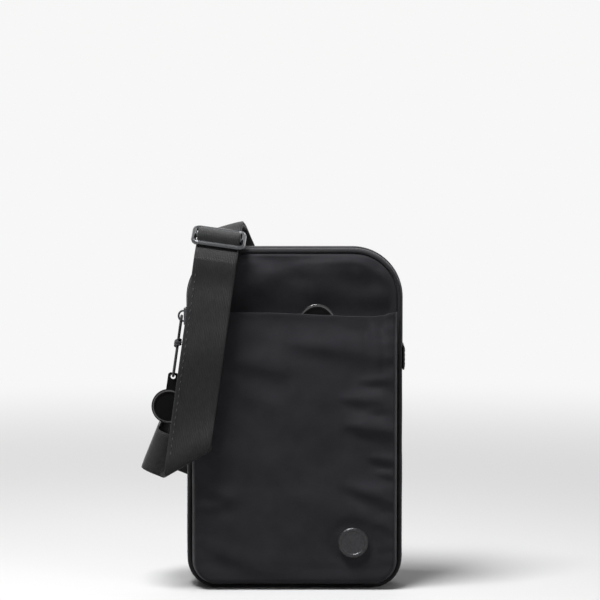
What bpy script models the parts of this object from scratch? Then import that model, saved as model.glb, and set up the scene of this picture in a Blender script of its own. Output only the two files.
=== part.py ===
"""Slim crossbody phone bag: padded pouch, slip pocket, wrap-round zip, webbing strap and adjuster.

Metres, +Z up. The bag stands on its base with the front facing -Y. The origin is the middle of the base.
"""

import math

import bmesh
import bpy
from mathutils import Matrix, Vector

# Pouch
BAG_WIDTH = 0.126
BAG_HEIGHT = 0.200
GUSSET_DEPTH = 0.022
TOP_RADIUS = 0.029
BOTTOM_RADIUS = 0.017
GUSSET_THICKNESS = 0.0016
PANEL_THICKNESS = 0.003
PANEL_ROUND = 0.0009
LINING_THICKNESS = 0.0011
PIPING_DIAMETER = 0.0026
PIPING_SETBACK = 0.0002
SEAM_GAP = 0.0003
CUT_OVERRUN = 0.004
WELD = 0.000001
ARC_STEPS = 9

# Slip pocket on the front
POCKET_DEPTH = 0.0084
POCKET_FABRIC = 0.0014
POCKET_ROUND = 0.0026
POCKET_EDGE_SHARE = 0.8175
POCKET_SAG = 0.0026
POCKET_SAG_SHARES = (
    (1.00, 0.05),
    (0.93, 0.15),
    (0.86, 0.70),
    (0.76, 1.00),
    (0.55, 0.90),
    (0.30, 0.62),
    (0.00, 0.30),
    (-0.30, 0.08),
    (-0.65, 0.00),
    (-1.00, 0.10),
)

# Round badge, pressed through the pocket fabric with a washer behind
BADGE_DIAMETER = 0.0178
BADGE_THICKNESS = 0.0020
BADGE_RIM = 0.0012
BADGE_DISH = 0.0004
BADGE_POST_DIAMETER = 0.0040
BADGE_X_SHARE = 0.272
BADGE_Z_SHARE = 0.142
WASHER_DIAMETER = 0.0110
WASHER_THICKNESS = 0.0008

# Zips: the main one wraps over the top, the small one crosses the front panel behind the slip pocket
ZIP_SIDE_LENGTH = 0.028
ZIP_PITCH = 0.0030
TOOTH_SHARE = 0.40
TOOTH_REACH = 0.0034
TOOTH_GAP = 0.0003
SPINE_WIDTH = 0.0008
CHAIN_THICKNESS = 0.0018
CHAIN_PROUD = 0.0006
TAPE_THICKNESS = 0.0010
SMALL_ZIP_LENGTH = 0.096
SMALL_ZIP_Z_SHARE = 0.735
SMALL_ZIP_SLOT_HEIGHT = 0.0150

# Zip slider: a flanged plate over the teeth with a bridge for its pull
SLIDER_LENGTH = 0.0100
SLIDER_WIDTH = 0.0090
SLIDER_NOSE_SHARE = 0.86
SLIDER_PLATE = 0.0010
SLIDER_CLEARANCE = 0.0006
SLIDER_FLANGE = 0.0009
BRIDGE_DIAMETER = 0.0012
BRIDGE_SPAN = 0.0062
BRIDGE_RISE = 0.0034

# Pulls: a knotted cord loop through the bridge, and a flat disc with a neck
CORD_DIAMETER = 0.0016
CORD_LENGTH = 0.0360
CORD_SPREAD = 0.0052
KNOT_DIAMETER = 0.0046
KNOT_SHARE = 0.45
DISC_DIAMETER = 0.0206
DISC_THICKNESS = 0.0020
DISC_HOLLOW = 0.0004
DISC_RIM_SHARE = 0.80
NECK_WIDTH = 0.0062
NECK_LENGTH = 0.0090
NECK_EYE = 0.0030
MAIN_SLIDER_BACK_OFF = 0.0115
PULL_REST_ANGLE = 0.143
SMALL_SLIDER_TRAVEL = 0.0091
SMALL_PULL_RISE = 0.329
SMALL_PULL_TILT = 0.035
SMALL_DISC_DROOP = 0.382

# Webbing strap and its hardware
WEBBING_WIDTH = 0.025
WEBBING_THICKNESS = 0.0012
LAYER_GAP = 0.0008
STRAP_X_SHARE = -0.492
STRAP_DROP = 0.1205
STRAP_STANDOFF = 0.0098
STRAP_LEAN = 0.140
HARDWARE_WIRE = 0.0024
RING_CLEAR_WIDTH = 0.0275
RING_DROP = 0.0105
BAR_CLEARANCE = 0.0009
TAB_THICKNESS = 0.0012
TAB_SEWN_LENGTH = 0.016
ADJUSTER_LENGTH = 0.0205
ADJUSTER_WIDTH = 0.0318
ADJUSTER_WIRE = 0.0030
ADJUSTER_DIP_SHARE = 1.35
ADJUSTER_LEVEL_SHARE = 3.0
SIDE_TAB_HEIGHT = 0.014
SIDE_TAB_THICKNESS = 0.0012

# Folds of the strap, each at a distance along the webbing from the foot of its front run
CREASE_RADIUS = 0.0022
CORNER_RADIUS = 0.0070
SHOULDER_RADIUS = 0.0090
CREST_RADIUS = 0.0100
REAR_RADIUS = 0.0135
BIGHT_RADIUS = 0.0060
LEAN_RADIUS = 0.0200
SIDE_CORNER_AT = 0.0210
REAR_CORNER_AT = 0.0680
SLACK_CREASE_AT = 0.1095
SHOULDER_AT = 0.1154
CREST_AT = 0.1476
REAR_AT = 0.1698
BIGHT_AT = 0.3703
LEAN_AT = 0.3963
TWIST_FROM = 0.4147
TWIST_TO = 0.4747
TWIST_DEGREES = 7.1
STRAP_LEFT_END = 0.1935
STRAP_RIGHT_END = 0.5097
ADJUSTER_AT = 0.1368
FOLD_STEP = 0.0016
PLAIN_STEP = 0.0240
TAIL_LENGTH = 0.020
TAIL_TAPER = 0.014

# Each fold: its distance, the crease's angle, the bend's radius, the turn, and the side it turns to
FOLDS_DOWN = (
    (0.0, 38, CREASE_RADIUS, 180, -1),
    (SIDE_CORNER_AT, 0, CORNER_RADIUS, 90, 1),
    (REAR_CORNER_AT, 0, CORNER_RADIUS, 90, 1),
    (SLACK_CREASE_AT, -34, CREASE_RADIUS, 180, 1),
)
FOLDS_UP = (
    (SHOULDER_AT, 0, SHOULDER_RADIUS, 64, -1),
    (CREST_AT, 32.7, CREST_RADIUS, 46.2, -1),
    (REAR_AT, 8.7, REAR_RADIUS, 75.6, -1),
    (BIGHT_AT, 12.7, BIGHT_RADIUS, 184.7, 1),
    (LEAN_AT, 0, LEAN_RADIUS, 8.8, 1),
)

# Derived sizes
HALF_WIDTH = BAG_WIDTH / 2
HALF_GUSSET = GUSSET_DEPTH / 2
PIPING_Y = HALF_GUSSET + SEAM_GAP + PIPING_DIAMETER / 2
PANEL_INSET = PIPING_SETBACK + PIPING_DIAMETER + SEAM_GAP
PANEL_Y = HALF_GUSSET + SEAM_GAP
PANEL_FACE_Y = PANEL_Y + PANEL_THICKNESS
POCKET_BACK_Y = PANEL_FACE_Y + SEAM_GAP
POCKET_FACE_Y = POCKET_BACK_Y + POCKET_DEPTH
POCKET_EDGE_Z = BAG_HEIGHT * POCKET_EDGE_SHARE
ZIP_END_Z = BAG_HEIGHT - TOP_RADIUS - ZIP_SIDE_LENGTH
SMALL_ZIP_Z = BAG_HEIGHT * SMALL_ZIP_Z_SHARE
CHAIN_HALF_WIDTH = SPINE_WIDTH + (TOOTH_REACH + TOOTH_GAP) / 2

PARTS = None
CUTTERS = None
MATERIALS = {}

# Colour (linear), roughness and metallic value of each finish
FINISHES = {
    "nylon": ((0.012, 0.012, 0.013), 0.62, 0.0),
    "lining": ((0.020, 0.020, 0.022), 0.75, 0.0),
    "piping": ((0.009, 0.009, 0.010), 0.60, 0.0),
    "webbing": ((0.016, 0.016, 0.017), 0.70, 0.0),
    "zip_tape": ((0.010, 0.010, 0.011), 0.80, 0.0),
    "zip_teeth": ((0.022, 0.022, 0.024), 0.42, 0.0),
    "hardware": ((0.030, 0.031, 0.034), 0.28, 1.0),
    "badge": ((0.055, 0.056, 0.060), 0.35, 1.0),
    "cord": ((0.014, 0.014, 0.015), 0.72, 0.0),
    "rubber": ((0.020, 0.021, 0.021), 0.48, 0.0),
}


def clear_scene():
    """Remove every object, then make the collections for the parts and for the cutters."""
    global PARTS, CUTTERS
    for old in list(bpy.data.objects):
        bpy.data.objects.remove(old)
    PARTS = bpy.data.collections.new("crossbody_bag")
    CUTTERS = bpy.data.collections.new("cutters")
    for collection in (PARTS, CUTTERS):
        bpy.context.scene.collection.children.link(collection)


def finish(name):
    """The material of one finish, made once."""
    if name not in MATERIALS:
        colour, roughness, metallic = FINISHES[name]
        material = bpy.data.materials.new(name)
        material.use_nodes = True
        shader = material.node_tree.nodes["Principled BSDF"]
        shader.inputs["Base Color"].default_value = (*colour, 1.0)
        shader.inputs["Roughness"].default_value = roughness
        shader.inputs["Metallic"].default_value = metallic
        MATERIALS[name] = material
    return MATERIALS[name]


def adopt(name, mesh, material, matrix=None, helper=False):
    """Turn a mesh into a named object in its collection."""
    piece = bpy.data.objects.new(name, mesh)
    if matrix is not None:
        piece.matrix_world = matrix
    if helper:
        CUTTERS.objects.link(piece)
        piece.hide_render = True
        piece.display_type = "WIRE"
    else:
        PARTS.objects.link(piece)
        mesh.materials.clear()
        mesh.materials.append(finish(material))
    mesh.shade_smooth()
    mesh.set_sharp_from_angle(angle=math.radians(38))
    return piece


def mesh_of(name, build):
    """A mesh from a bmesh that the given function fills."""
    mesh = bpy.data.meshes.new(name)
    work = bmesh.new()
    build(work)
    if work.calc_volume(signed=True) < 0:
        bmesh.ops.reverse_faces(work, faces=work.faces)
    work.to_mesh(mesh)
    work.free()
    return mesh


def curve_mesh(name, curve, matrix):
    """Evaluate a curve as a mesh in world space, with its caps welded on."""
    guide = bpy.data.objects.new(name + "_curve", curve)
    guide.matrix_world = matrix
    CUTTERS.objects.link(guide)
    bpy.context.view_layer.update()
    graph = bpy.context.evaluated_depsgraph_get()
    mesh = bpy.data.meshes.new_from_object(guide.evaluated_get(graph))
    bpy.data.objects.remove(guide)
    bpy.data.curves.remove(curve)
    work = bmesh.new()
    work.from_mesh(mesh)
    bmesh.ops.remove_doubles(work, verts=work.verts, dist=WELD)
    bmesh.ops.transform(work, matrix=matrix, verts=work.verts)
    bmesh.ops.recalc_face_normals(work, faces=work.faces)
    work.to_mesh(mesh)
    work.free()
    return mesh


def flat_mesh(name, loops, thickness, matrix):
    """A plate from closed outlines in the curve's own plane, centred on its thickness."""
    curve = bpy.data.curves.new(name, "CURVE")
    curve.dimensions = "2D"
    curve.fill_mode = "BOTH"
    curve.extrude = thickness / 2
    for points in loops:
        spline = curve.splines.new("POLY")
        spline.points.add(len(points[1:]))
        for knot, (x, y) in zip(spline.points, points):
            knot.co = (x, y, 0, 1)
        spline.use_cyclic_u = True
    return curve_mesh(name, curve, matrix)


def tube_mesh(name, points, diameter, closed=False, resolution=2):
    """A round tube along points, with filled ends unless it closes on itself."""
    curve = bpy.data.curves.new(name, "CURVE")
    curve.dimensions = "3D"
    curve.bevel_depth = diameter / 2
    curve.bevel_resolution = resolution
    curve.use_fill_caps = not closed
    spline = curve.splines.new("POLY")
    spline.points.add(len(points[1:]))
    for knot, point in zip(spline.points, points):
        knot.co = (*point, 1)
    spline.use_cyclic_u = closed
    return curve_mesh(name, curve, Matrix.Identity(4))


def facing_front(y):
    """The matrix that stands an outline's plane up as the X-Z plane at depth y."""
    return Matrix.Translation((0, y, 0)) @ Matrix.Rotation(math.pi / 2, 4, "X")


def bevel(piece, width, segments=2, angle=40):
    """Round the piece's sharp edges."""
    modifier = piece.modifiers.new("Bevel", "BEVEL")
    modifier.width = width
    modifier.segments = segments
    modifier.limit_method = "ANGLE"
    modifier.angle_limit = math.radians(angle)
    return modifier


def boolean(piece, other, operation):
    """Apply one exact Boolean with a helper object, then drop the helper."""
    modifier = piece.modifiers.new("Boolean", "BOOLEAN")
    modifier.operation = operation
    modifier.object = other
    bpy.context.view_layer.update()
    graph = bpy.context.evaluated_depsgraph_get()
    mesh = bpy.data.meshes.new_from_object(piece.evaluated_get(graph))
    piece.modifiers.remove(modifier)
    piece.data = mesh
    bpy.data.objects.remove(other)
    mesh.shade_smooth()
    mesh.set_sharp_from_angle(angle=math.radians(38))


def corner(centre_x, centre_z, radius, start, steps=ARC_STEPS):
    """Points of a quarter turn, counter-clockwise from the start angle."""
    return [
        (
            centre_x + radius * math.cos(start + math.pi / 2 * i / steps),
            centre_z + radius * math.sin(start + math.pi / 2 * i / steps),
        )
        for i in range(steps + 1)
    ]


def pouch_outline(inset):
    """The bag's front outline drawn in by inset, counter-clockwise from the lower right corner."""
    low = BOTTOM_RADIUS - inset
    top = TOP_RADIUS - inset
    low_x = HALF_WIDTH - BOTTOM_RADIUS
    top_x = HALF_WIDTH - TOP_RADIUS
    top_z = BAG_HEIGHT - TOP_RADIUS
    return (
        corner(low_x, BOTTOM_RADIUS, low, -math.pi / 2)
        + corner(top_x, top_z, top, 0)
        + corner(-top_x, top_z, top, math.pi / 2)
        + corner(-low_x, BOTTOM_RADIUS, low, math.pi)
    )


def base_band(inset, end_z):
    """The outline below end_z, from the left side round the base to the right side."""
    radius = BOTTOM_RADIUS - inset
    low_x = HALF_WIDTH - BOTTOM_RADIUS
    left = [(-HALF_WIDTH + inset, end_z)] + corner(-low_x, BOTTOM_RADIUS, radius, math.pi)
    right = corner(low_x, BOTTOM_RADIUS, radius, -math.pi / 2) + [(HALF_WIDTH - inset, end_z)]
    return left + right


def top_band(inset, end_z):
    """The outline above end_z, from the right side over the top to the left side."""
    radius = TOP_RADIUS - inset
    top_x = HALF_WIDTH - TOP_RADIUS
    top_z = BAG_HEIGHT - TOP_RADIUS
    right = [(HALF_WIDTH - inset, end_z)] + corner(top_x, top_z, radius, 0)
    left = corner(-top_x, top_z, radius, math.pi / 2) + [(-HALF_WIDTH + inset, end_z)]
    return right + left


def band_mesh(name, band, inset, thickness, end_z, low_y, high_y):
    """A strip of cloth that follows part of the outline, between two depths."""
    loop = band(inset, end_z) + band(inset + thickness, end_z)[::-1]
    return flat_mesh(name, [loop], high_y - low_y, facing_front((low_y + high_y) / 2))


def box_outline(width, height, centre_x=0.0, centre_z=0.0):
    """The corners of a rectangle."""
    return [
        (centre_x + sx * width / 2, centre_z + sz * height / 2)
        for sx, sz in ((-1, -1), (1, -1), (1, 1), (-1, 1))
    ]


def make_panels():
    """Front and back panels with their linings. The front one has a slot for the small zip."""
    slot = box_outline(SMALL_ZIP_LENGTH, SMALL_ZIP_SLOT_HEIGHT, 0, SMALL_ZIP_Z)
    middle = PANEL_Y + PANEL_THICKNESS / 2
    lining_y = HALF_GUSSET - LINING_THICKNESS / 2
    for side, label, holes in ((-1, "front", [slot]), (1, "back", [])):
        outline = pouch_outline(PANEL_INSET)
        panel = flat_mesh(label, [outline] + holes, PANEL_THICKNESS, facing_front(side * middle))
        bevel(adopt(label + "_panel", panel, "nylon"), PANEL_ROUND)
        lining_outline = pouch_outline(GUSSET_THICKNESS + SEAM_GAP)
        lining = flat_mesh(
            label, [lining_outline] + holes, LINING_THICKNESS, facing_front(side * lining_y)
        )
        adopt(label + "_lining", lining, "lining")


def make_gusset():
    """The band round the base and lower sides, and the tabs that close the ends of the zip."""
    gusset = band_mesh(
        "gusset", base_band, 0, GUSSET_THICKNESS, ZIP_END_Z - SEAM_GAP, -HALF_GUSSET, HALF_GUSSET
    )
    bevel(adopt("base_gusset", gusset, "nylon"), GUSSET_THICKNESS / 4, 1)
    for side, label in ((-1, "left"), (1, "right")):
        outline = box_outline(
            SIDE_TAB_THICKNESS,
            SIDE_TAB_HEIGHT,
            side * (HALF_WIDTH + SEAM_GAP + SIDE_TAB_THICKNESS / 2),
            ZIP_END_Z - SIDE_TAB_HEIGHT / 2 - SEAM_GAP,
        )
        tab = flat_mesh(label, [outline], GUSSET_DEPTH, facing_front(0))
        bevel(adopt("zip_end_tab_" + label, tab, "webbing"), SIDE_TAB_THICKNESS / 3, 1)


def make_piping():
    """The cord bound into the seam round each panel."""
    inset = PIPING_SETBACK + PIPING_DIAMETER / 2
    for side, label in ((-1, "front"), (1, "back")):
        route = [(x, side * PIPING_Y, z) for x, z in pouch_outline(inset)]
        adopt("piping_" + label, tube_mesh(label, route, PIPING_DIAMETER, closed=True), "piping")


def rim_frame(travel):
    """The outline's point and outward direction at a distance along the main zip from its left end."""
    side = ZIP_SIDE_LENGTH
    turn = TOP_RADIUS * math.pi / 2
    half = side + turn + HALF_WIDTH - TOP_RADIUS
    if travel > half:
        (x, z), (nx, nz) = rim_frame(2 * half - travel)
        return (-x, z), (-nx, nz)
    if travel < side:
        return (-HALF_WIDTH, ZIP_END_Z + travel), (-1.0, 0.0)
    angle = math.pi - min((travel - side) / TOP_RADIUS, math.pi / 2)
    nx, nz = math.cos(angle), math.sin(angle)
    past = max(0.0, travel - side - turn)
    x = TOP_RADIUS - HALF_WIDTH + TOP_RADIUS * nx + past
    return (x, BAG_HEIGHT - TOP_RADIUS + TOP_RADIUS * nz), (nx, nz)


def rim_length():
    """The length of the main zip from end to end."""
    return 2 * (ZIP_SIDE_LENGTH + TOP_RADIUS * math.pi / 2 + HALF_WIDTH - TOP_RADIUS)


def on_rim(travel, across, outward):
    """A point of the main zip: along it, across its width, and out from the bag."""
    (x, z), (nx, nz) = rim_frame(travel)
    return (x + nx * outward, across, z + nz * outward)


def on_front(travel, across, outward):
    """A point of the small zip on the front panel: along X, up from its middle, and out."""
    x = travel - SMALL_ZIP_LENGTH / 2
    return (x, -PANEL_FACE_Y + TAPE_THICKNESS - outward, SMALL_ZIP_Z + across)


def laid_strip(name, stations, rows, keep, low, high, place):
    """A strip cut from a grid, thickened from low to high, and laid where place puts it."""

    def build(work):
        columns, lanes = len(stations) - 1, len(rows) - 1
        bmesh.ops.create_grid(work, x_segments=columns, y_segments=lanes, size=1)
        for vertex in work.verts:
            vertex.co.x = round((vertex.co.x + 1) * columns / 2)
            vertex.co.y = round((vertex.co.y + 1) * lanes / 2)
        dropped = []
        for face in work.faces:
            cell = face.calc_center_median()
            if not keep(int(cell.x), int(cell.y)):
                dropped.append(face)
        bmesh.ops.delete(work, geom=dropped, context="FACES")
        made = bmesh.ops.extrude_face_region(work, geom=work.faces[:], use_keep_orig=True)
        raised = {item for item in made["geom"] if isinstance(item, bmesh.types.BMVert)}
        for vertex in raised:
            vertex.co.z = 1
        bmesh.ops.recalc_face_normals(work, faces=work.faces)
        for vertex in work.verts:
            height = high if vertex in raised else low
            vertex.co = place(stations[round(vertex.co.x)], rows[round(vertex.co.y)], height)

    return mesh_of(name, build)


def comb_mesh(name, length, side, place):
    """One row of zip teeth on its spine. The two sides mesh, half a pitch apart."""
    count = int(length / ZIP_PITCH - TOOTH_SHARE)
    spare = (length - count * ZIP_PITCH) / 2
    tooth = ZIP_PITCH * TOOTH_SHARE
    shift = 0.0 if side > 0 else ZIP_PITCH / 2
    stations = [0.0]
    for i in range(count):
        start = spare + i * ZIP_PITCH + shift
        stations += [start, start + tooth]
    stations.append(length)
    root = -side * CHAIN_HALF_WIDTH
    rows = [root, root + side * SPINE_WIDTH, root + side * (SPINE_WIDTH + TOOTH_REACH)]
    if side < 0:
        rows.reverse()

    def keep(column, lane):
        spine = lane == (0 if side > 0 else 1)
        return spine or column % 2 == 1

    return laid_strip(
        name, stations, rows, keep, CHAIN_PROUD - CHAIN_THICKNESS, CHAIN_PROUD, place
    )


def make_main_zip():
    """Two tapes over the top of the bag, each with its row of teeth."""
    for side, label in ((-1, "front"), (1, "back")):
        near = side * (CHAIN_HALF_WIDTH + TOOTH_GAP)
        far = side * HALF_GUSSET
        tape = band_mesh(
            label, top_band, 0, TAPE_THICKNESS, ZIP_END_Z, min(near, far), max(near, far)
        )
        adopt("zip_tape_" + label, tape, "zip_tape")
        comb = comb_mesh(label, rim_length(), -side, on_rim)
        adopt("zip_teeth_" + label, comb, "zip_teeth")


def make_small_zip():
    """The short zip in the front panel's slot: two tapes and two rows of teeth."""
    reach = SMALL_ZIP_SLOT_HEIGHT / 2 - SEAM_GAP
    near = CHAIN_HALF_WIDTH + TOOTH_GAP
    length = SMALL_ZIP_LENGTH - 2 * SEAM_GAP
    depth = -PANEL_FACE_Y + TAPE_THICKNESS + TAPE_THICKNESS / 2
    for side, label in ((1, "upper"), (-1, "lower")):
        outline = box_outline(length, reach - near, 0, SMALL_ZIP_Z + side * (near + reach) / 2)
        tape = flat_mesh(label, [outline], TAPE_THICKNESS, facing_front(depth))
        adopt("small_zip_tape_" + label, tape, "zip_tape")

        def place(travel, across, outward):
            return on_front(travel + SEAM_GAP, across, outward)

        comb = comb_mesh(label, length, -side, place)
        adopt("small_zip_teeth_" + label, comb, "zip_teeth")


def pocket_loop(inset, edge_z, sag):
    """The slip pocket's outline, whose top edge sags between its corners."""
    side_x = HALF_WIDTH - inset
    radius = BOTTOM_RADIUS - inset
    low_x = HALF_WIDTH - BOTTOM_RADIUS
    edge = [(side_x * across, edge_z - sag * down) for across, down in POCKET_SAG_SHARES]
    return (
        corner(low_x, BOTTOM_RADIUS, radius, -math.pi / 2)
        + edge
        + corner(-low_x, BOTTOM_RADIUS, radius, math.pi)
    )


def round_front_rim(mesh, face_y, width, segments):
    """Round the edges of the face that lies at face_y."""
    work = bmesh.new()
    work.from_mesh(mesh)
    tolerance = width / 50
    rim = [
        edge
        for edge in work.edges
        if all(abs(v.co.y - face_y) < tolerance for v in edge.verts) and len(edge.link_faces) == 2
    ]
    rim = [
        edge
        for edge in rim
        if any(abs(f.normal.y) < 0.5 for f in edge.link_faces)
    ]
    bmesh.ops.bevel(
        work, geom=rim, offset=width, segments=segments, profile=0.5, affect="EDGES", clamp_overlap=True
    )
    work.to_mesh(mesh)
    work.free()


def badge_place():
    """The middle of the badge on the pocket's face."""
    return BAG_WIDTH * BADGE_X_SHARE, BAG_HEIGHT * BADGE_Z_SHARE


def make_pocket():
    """The slip pocket: a shallow tray of cloth, open at the top, sewn into the seam at its rim."""
    middle = -(POCKET_BACK_Y + POCKET_FACE_Y) / 2
    outer = flat_mesh(
        "pocket",
        [pocket_loop(PANEL_INSET, POCKET_EDGE_Z, POCKET_SAG)],
        POCKET_DEPTH,
        facing_front(middle),
    )
    round_front_rim(outer, -POCKET_FACE_Y, POCKET_ROUND, 3)
    pocket = adopt("slip_pocket", outer, "nylon")
    hollow = flat_mesh(
        "hollow",
        [pocket_loop(PANEL_INSET + POCKET_FABRIC, POCKET_EDGE_Z + CUT_OVERRUN, 0)],
        POCKET_DEPTH,
        facing_front(middle + POCKET_FABRIC),
    )
    round_front_rim(hollow, -POCKET_FACE_Y + POCKET_FABRIC, POCKET_ROUND - POCKET_FABRIC / 2, 2)
    boolean(pocket, adopt("pocket_hollow", hollow, None, helper=True), "DIFFERENCE")
    x, z = badge_place()
    radius = BADGE_POST_DIAMETER / 2 + SEAM_GAP
    hole = flat_mesh(
        "hole",
        [[(x + dx, z + dz) for dx, dz in circle(radius, 16)]],
        POCKET_DEPTH,
        facing_front(-POCKET_FACE_Y),
    )
    boolean(pocket, adopt("badge_hole", hole, None, helper=True), "DIFFERENCE")


def circle(radius, steps):
    """Points round a circle."""
    return [
        (radius * math.cos(math.tau * i / steps), radius * math.sin(math.tau * i / steps))
        for i in range(steps)
    ]


def turned(name, profile, material, matrix, steps=28):
    """A shape turned round its local Z axis from a profile that runs down its outer side."""
    mesh = bpy.data.meshes.new(name)
    edges = [(i, i + 1) for i in range(len(profile) - 1)]
    mesh.from_pydata([(r, 0, z) for r, z in profile], edges, [])
    piece = adopt(name, mesh, material, matrix)
    screw = piece.modifiers.new("Screw", "SCREW")
    screw.steps = steps
    screw.render_steps = steps
    screw.use_merge_vertices = True
    screw.merge_threshold = WELD
    screw.use_smooth_shade = True
    return piece


def make_badge():
    """A dished round badge with a raised rim, its post through the cloth, and the washer behind."""
    x, z = badge_place()
    radius = BADGE_DIAMETER / 2
    post = BADGE_POST_DIAMETER / 2
    through = POCKET_FABRIC + SEAM_GAP + SEAM_GAP + WASHER_THICKNESS
    face = BADGE_THICKNESS
    profile = [
        (0, face - BADGE_DISH),
        (radius - 2 * BADGE_RIM, face - BADGE_DISH),
        (radius - 1.6 * BADGE_RIM, face),
        (radius - 0.5 * BADGE_RIM, face),
        (radius, face - 0.5 * BADGE_RIM),
        (radius, 0.4 * BADGE_RIM),
        (radius - 0.4 * BADGE_RIM, 0),
        (post, 0),
        (post, -through),
        (0, -through),
    ]
    out = Matrix.Rotation(math.pi / 2, 4, "X")
    seat = Matrix.Translation((x, -POCKET_FACE_Y - SEAM_GAP, z)) @ out
    turned("badge", profile, "badge", seat)
    inner = post + SEAM_GAP
    washer = WASHER_DIAMETER / 2
    ring = [
        (inner, WASHER_THICKNESS),
        (washer, WASHER_THICKNESS),
        (washer, 0),
        (inner, 0),
        (inner, WASHER_THICKNESS),
    ]
    behind = -POCKET_FACE_Y + POCKET_FABRIC + SEAM_GAP + WASHER_THICKNESS
    turned("badge_washer", ring, "hardware", Matrix.Translation((x, behind, z)) @ out, 20)


def slider_mesh(name):
    """A slider in its own axes: X along the zip, Y across it, Z out from the bag, tape at zero."""
    half = SLIDER_LENGTH / 2
    wide = SLIDER_WIDTH / 2
    narrow = wide * SLIDER_NOSE_SHARE
    under = CHAIN_PROUD + SLIDER_CLEARANCE
    top = under + SLIDER_PLATE
    outline = [(-half, -narrow), (0, -wide), (half, -wide), (half, wide), (0, wide), (-half, narrow)]
    height = top - SEAM_GAP
    body = flat_mesh(name, [outline], height, Matrix.Translation((0, 0, SEAM_GAP + height / 2)))
    piece = adopt(name, body, "hardware")
    bevel(piece, SLIDER_FLANGE / 3, 2)
    bpy.context.view_layer.update()
    channel = 2 * (CHAIN_HALF_WIDTH + SLIDER_CLEARANCE)
    cutter = flat_mesh(
        "channel",
        [box_outline(SLIDER_LENGTH + CUT_OVERRUN, channel)],
        under + under,
        Matrix.Identity(4),
    )
    boolean(piece, adopt("slider_channel", cutter, None, helper=True), "DIFFERENCE")
    piece.modifiers.clear()
    arch = []
    for i in range(13):
        angle = math.pi * i / 12
        rise = BRIDGE_RISE * math.sin(angle) ** 0.8 if 0 < i < 12 else 0.0
        arch.append((-BRIDGE_SPAN / 2 * math.cos(angle), 0, top + rise - BRIDGE_DIAMETER / 4))
    arch[0] = (arch[0][0], 0, top - SLIDER_PLATE / 2)
    arch[-1] = (arch[-1][0], 0, top - SLIDER_PLATE / 2)
    bridge = tube_mesh("bridge", arch, BRIDGE_DIAMETER)
    boolean(piece, adopt("slider_bridge", bridge, None, helper=True), "UNION")
    mesh = piece.data
    bpy.data.objects.remove(piece)
    return mesh


def eye_height():
    """How far the middle of a pull's cord sits above the tape, inside the bridge."""
    plate_top = CHAIN_PROUD + SLIDER_CLEARANCE + SLIDER_PLATE
    return plate_top + (BRIDGE_RISE - BRIDGE_DIAMETER * 0.75) / 2


def cord_mesh(name, twist):
    """A cord loop with a knot, in its own axes: from the bridge at the origin down -Z to the eye.

    The two strands part along Y at the bottom, and along a direction turned by twist at the top.
    """
    near = CORD_DIAMETER / 2 + SEAM_GAP / 3
    knot = KNOT_SHARE * CORD_LENGTH
    low_half = DISC_THICKNESS / 2 + CORD_DIAMETER / 2 + SEAM_GAP * 2
    top_half = CORD_SPREAD / 2
    turn = CORD_DIAMETER * 0.9
    strand = [
        (0.0, 0.0),
        (top_half * 0.72, -turn * 0.22),
        (top_half, -turn),
        (top_half * 0.92, -turn - knot * 0.25),
        (near * 1.15, -knot + KNOT_DIAMETER * 0.45),
        (near, -knot),
        (near * 1.15, -knot - KNOT_DIAMETER * 0.45),
        (low_half * 0.8, -CORD_LENGTH + (CORD_LENGTH - knot) * 0.55),
        (low_half, -CORD_LENGTH + (CORD_LENGTH - knot) * 0.25),
        (low_half, -CORD_LENGTH + turn),
        (low_half * 0.72, -CORD_LENGTH + turn * 0.22),
        (0.0, -CORD_LENGTH),
    ]
    loop = [(y, z) for y, z in strand] + [(-y, z) for y, z in strand[-2:0:-1]]
    points = []
    for y, z in loop:
        share = min(1.0, max(0.0, (z + knot + KNOT_DIAMETER / 2) / KNOT_DIAMETER))
        angle = twist * share
        points.append((-y * math.sin(angle), y * math.cos(angle), z))
    cord = adopt(name, tube_mesh(name, points, CORD_DIAMETER, closed=True, resolution=2), "cord")
    work = bmesh.new()
    bmesh.ops.create_uvsphere(
        work,
        u_segments=10,
        v_segments=7,
        radius=KNOT_DIAMETER / 2,
        matrix=Matrix.Translation((0, 0, -knot)) @ Matrix.Diagonal((1, 1, 0.85, 1)),
    )
    bead = bpy.data.meshes.new("knot")
    work.to_mesh(bead)
    work.free()
    boolean(cord, adopt("knot_bead", bead, None, helper=True), "UNION")
    mesh = cord.data
    bpy.data.objects.remove(cord)
    return mesh


def disc_mesh(name):
    """The pull's disc in its own axes: cord at the origin, disc hung below it, facing -Y."""
    radius = DISC_DIAMETER / 2
    centre = -(NECK_LENGTH - NECK_EYE / 2 + radius)
    half = NECK_WIDTH / 2
    top = NECK_EYE / 2 + CORD_DIAMETER / 2
    join = math.asin(half / radius)
    outline = []
    for i in range(29):
        angle = math.pi / 2 + join + (math.tau - 2 * join) * i / 28
        outline.append((radius * math.cos(angle), centre + radius * math.sin(angle)))
    outline += [(half, top - half / 3), (half * 2 / 3, top), (-half * 2 / 3, top), (-half, top - half / 3)]
    body = flat_mesh(name, [outline], DISC_THICKNESS, facing_front(0))
    piece = adopt(name, body, "rubber")
    bevel(piece, DISC_THICKNESS / 5, 2)
    eye = flat_mesh("eye", [circle(NECK_EYE / 2, 12)], DISC_THICKNESS * 2, facing_front(0))
    boolean(piece, adopt("disc_eye", eye, None, helper=True), "DIFFERENCE")
    piece.modifiers.clear()
    dish = [(x, centre + z) for x, z in circle(radius * DISC_RIM_SHARE, 24)]
    for side in (-1, 1):
        depth = side * (DISC_THICKNESS / 2)
        cut = flat_mesh("dish", [dish], DISC_HOLLOW * 2, facing_front(depth))
        boolean(piece, adopt("disc_dish", cut, None, helper=True), "DIFFERENCE")
    mesh = piece.data
    bpy.data.objects.remove(piece)
    mesh.transform(Matrix.Translation((0, 0, -(NECK_EYE - CORD_DIAMETER) / 4)))
    return mesh


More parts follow.
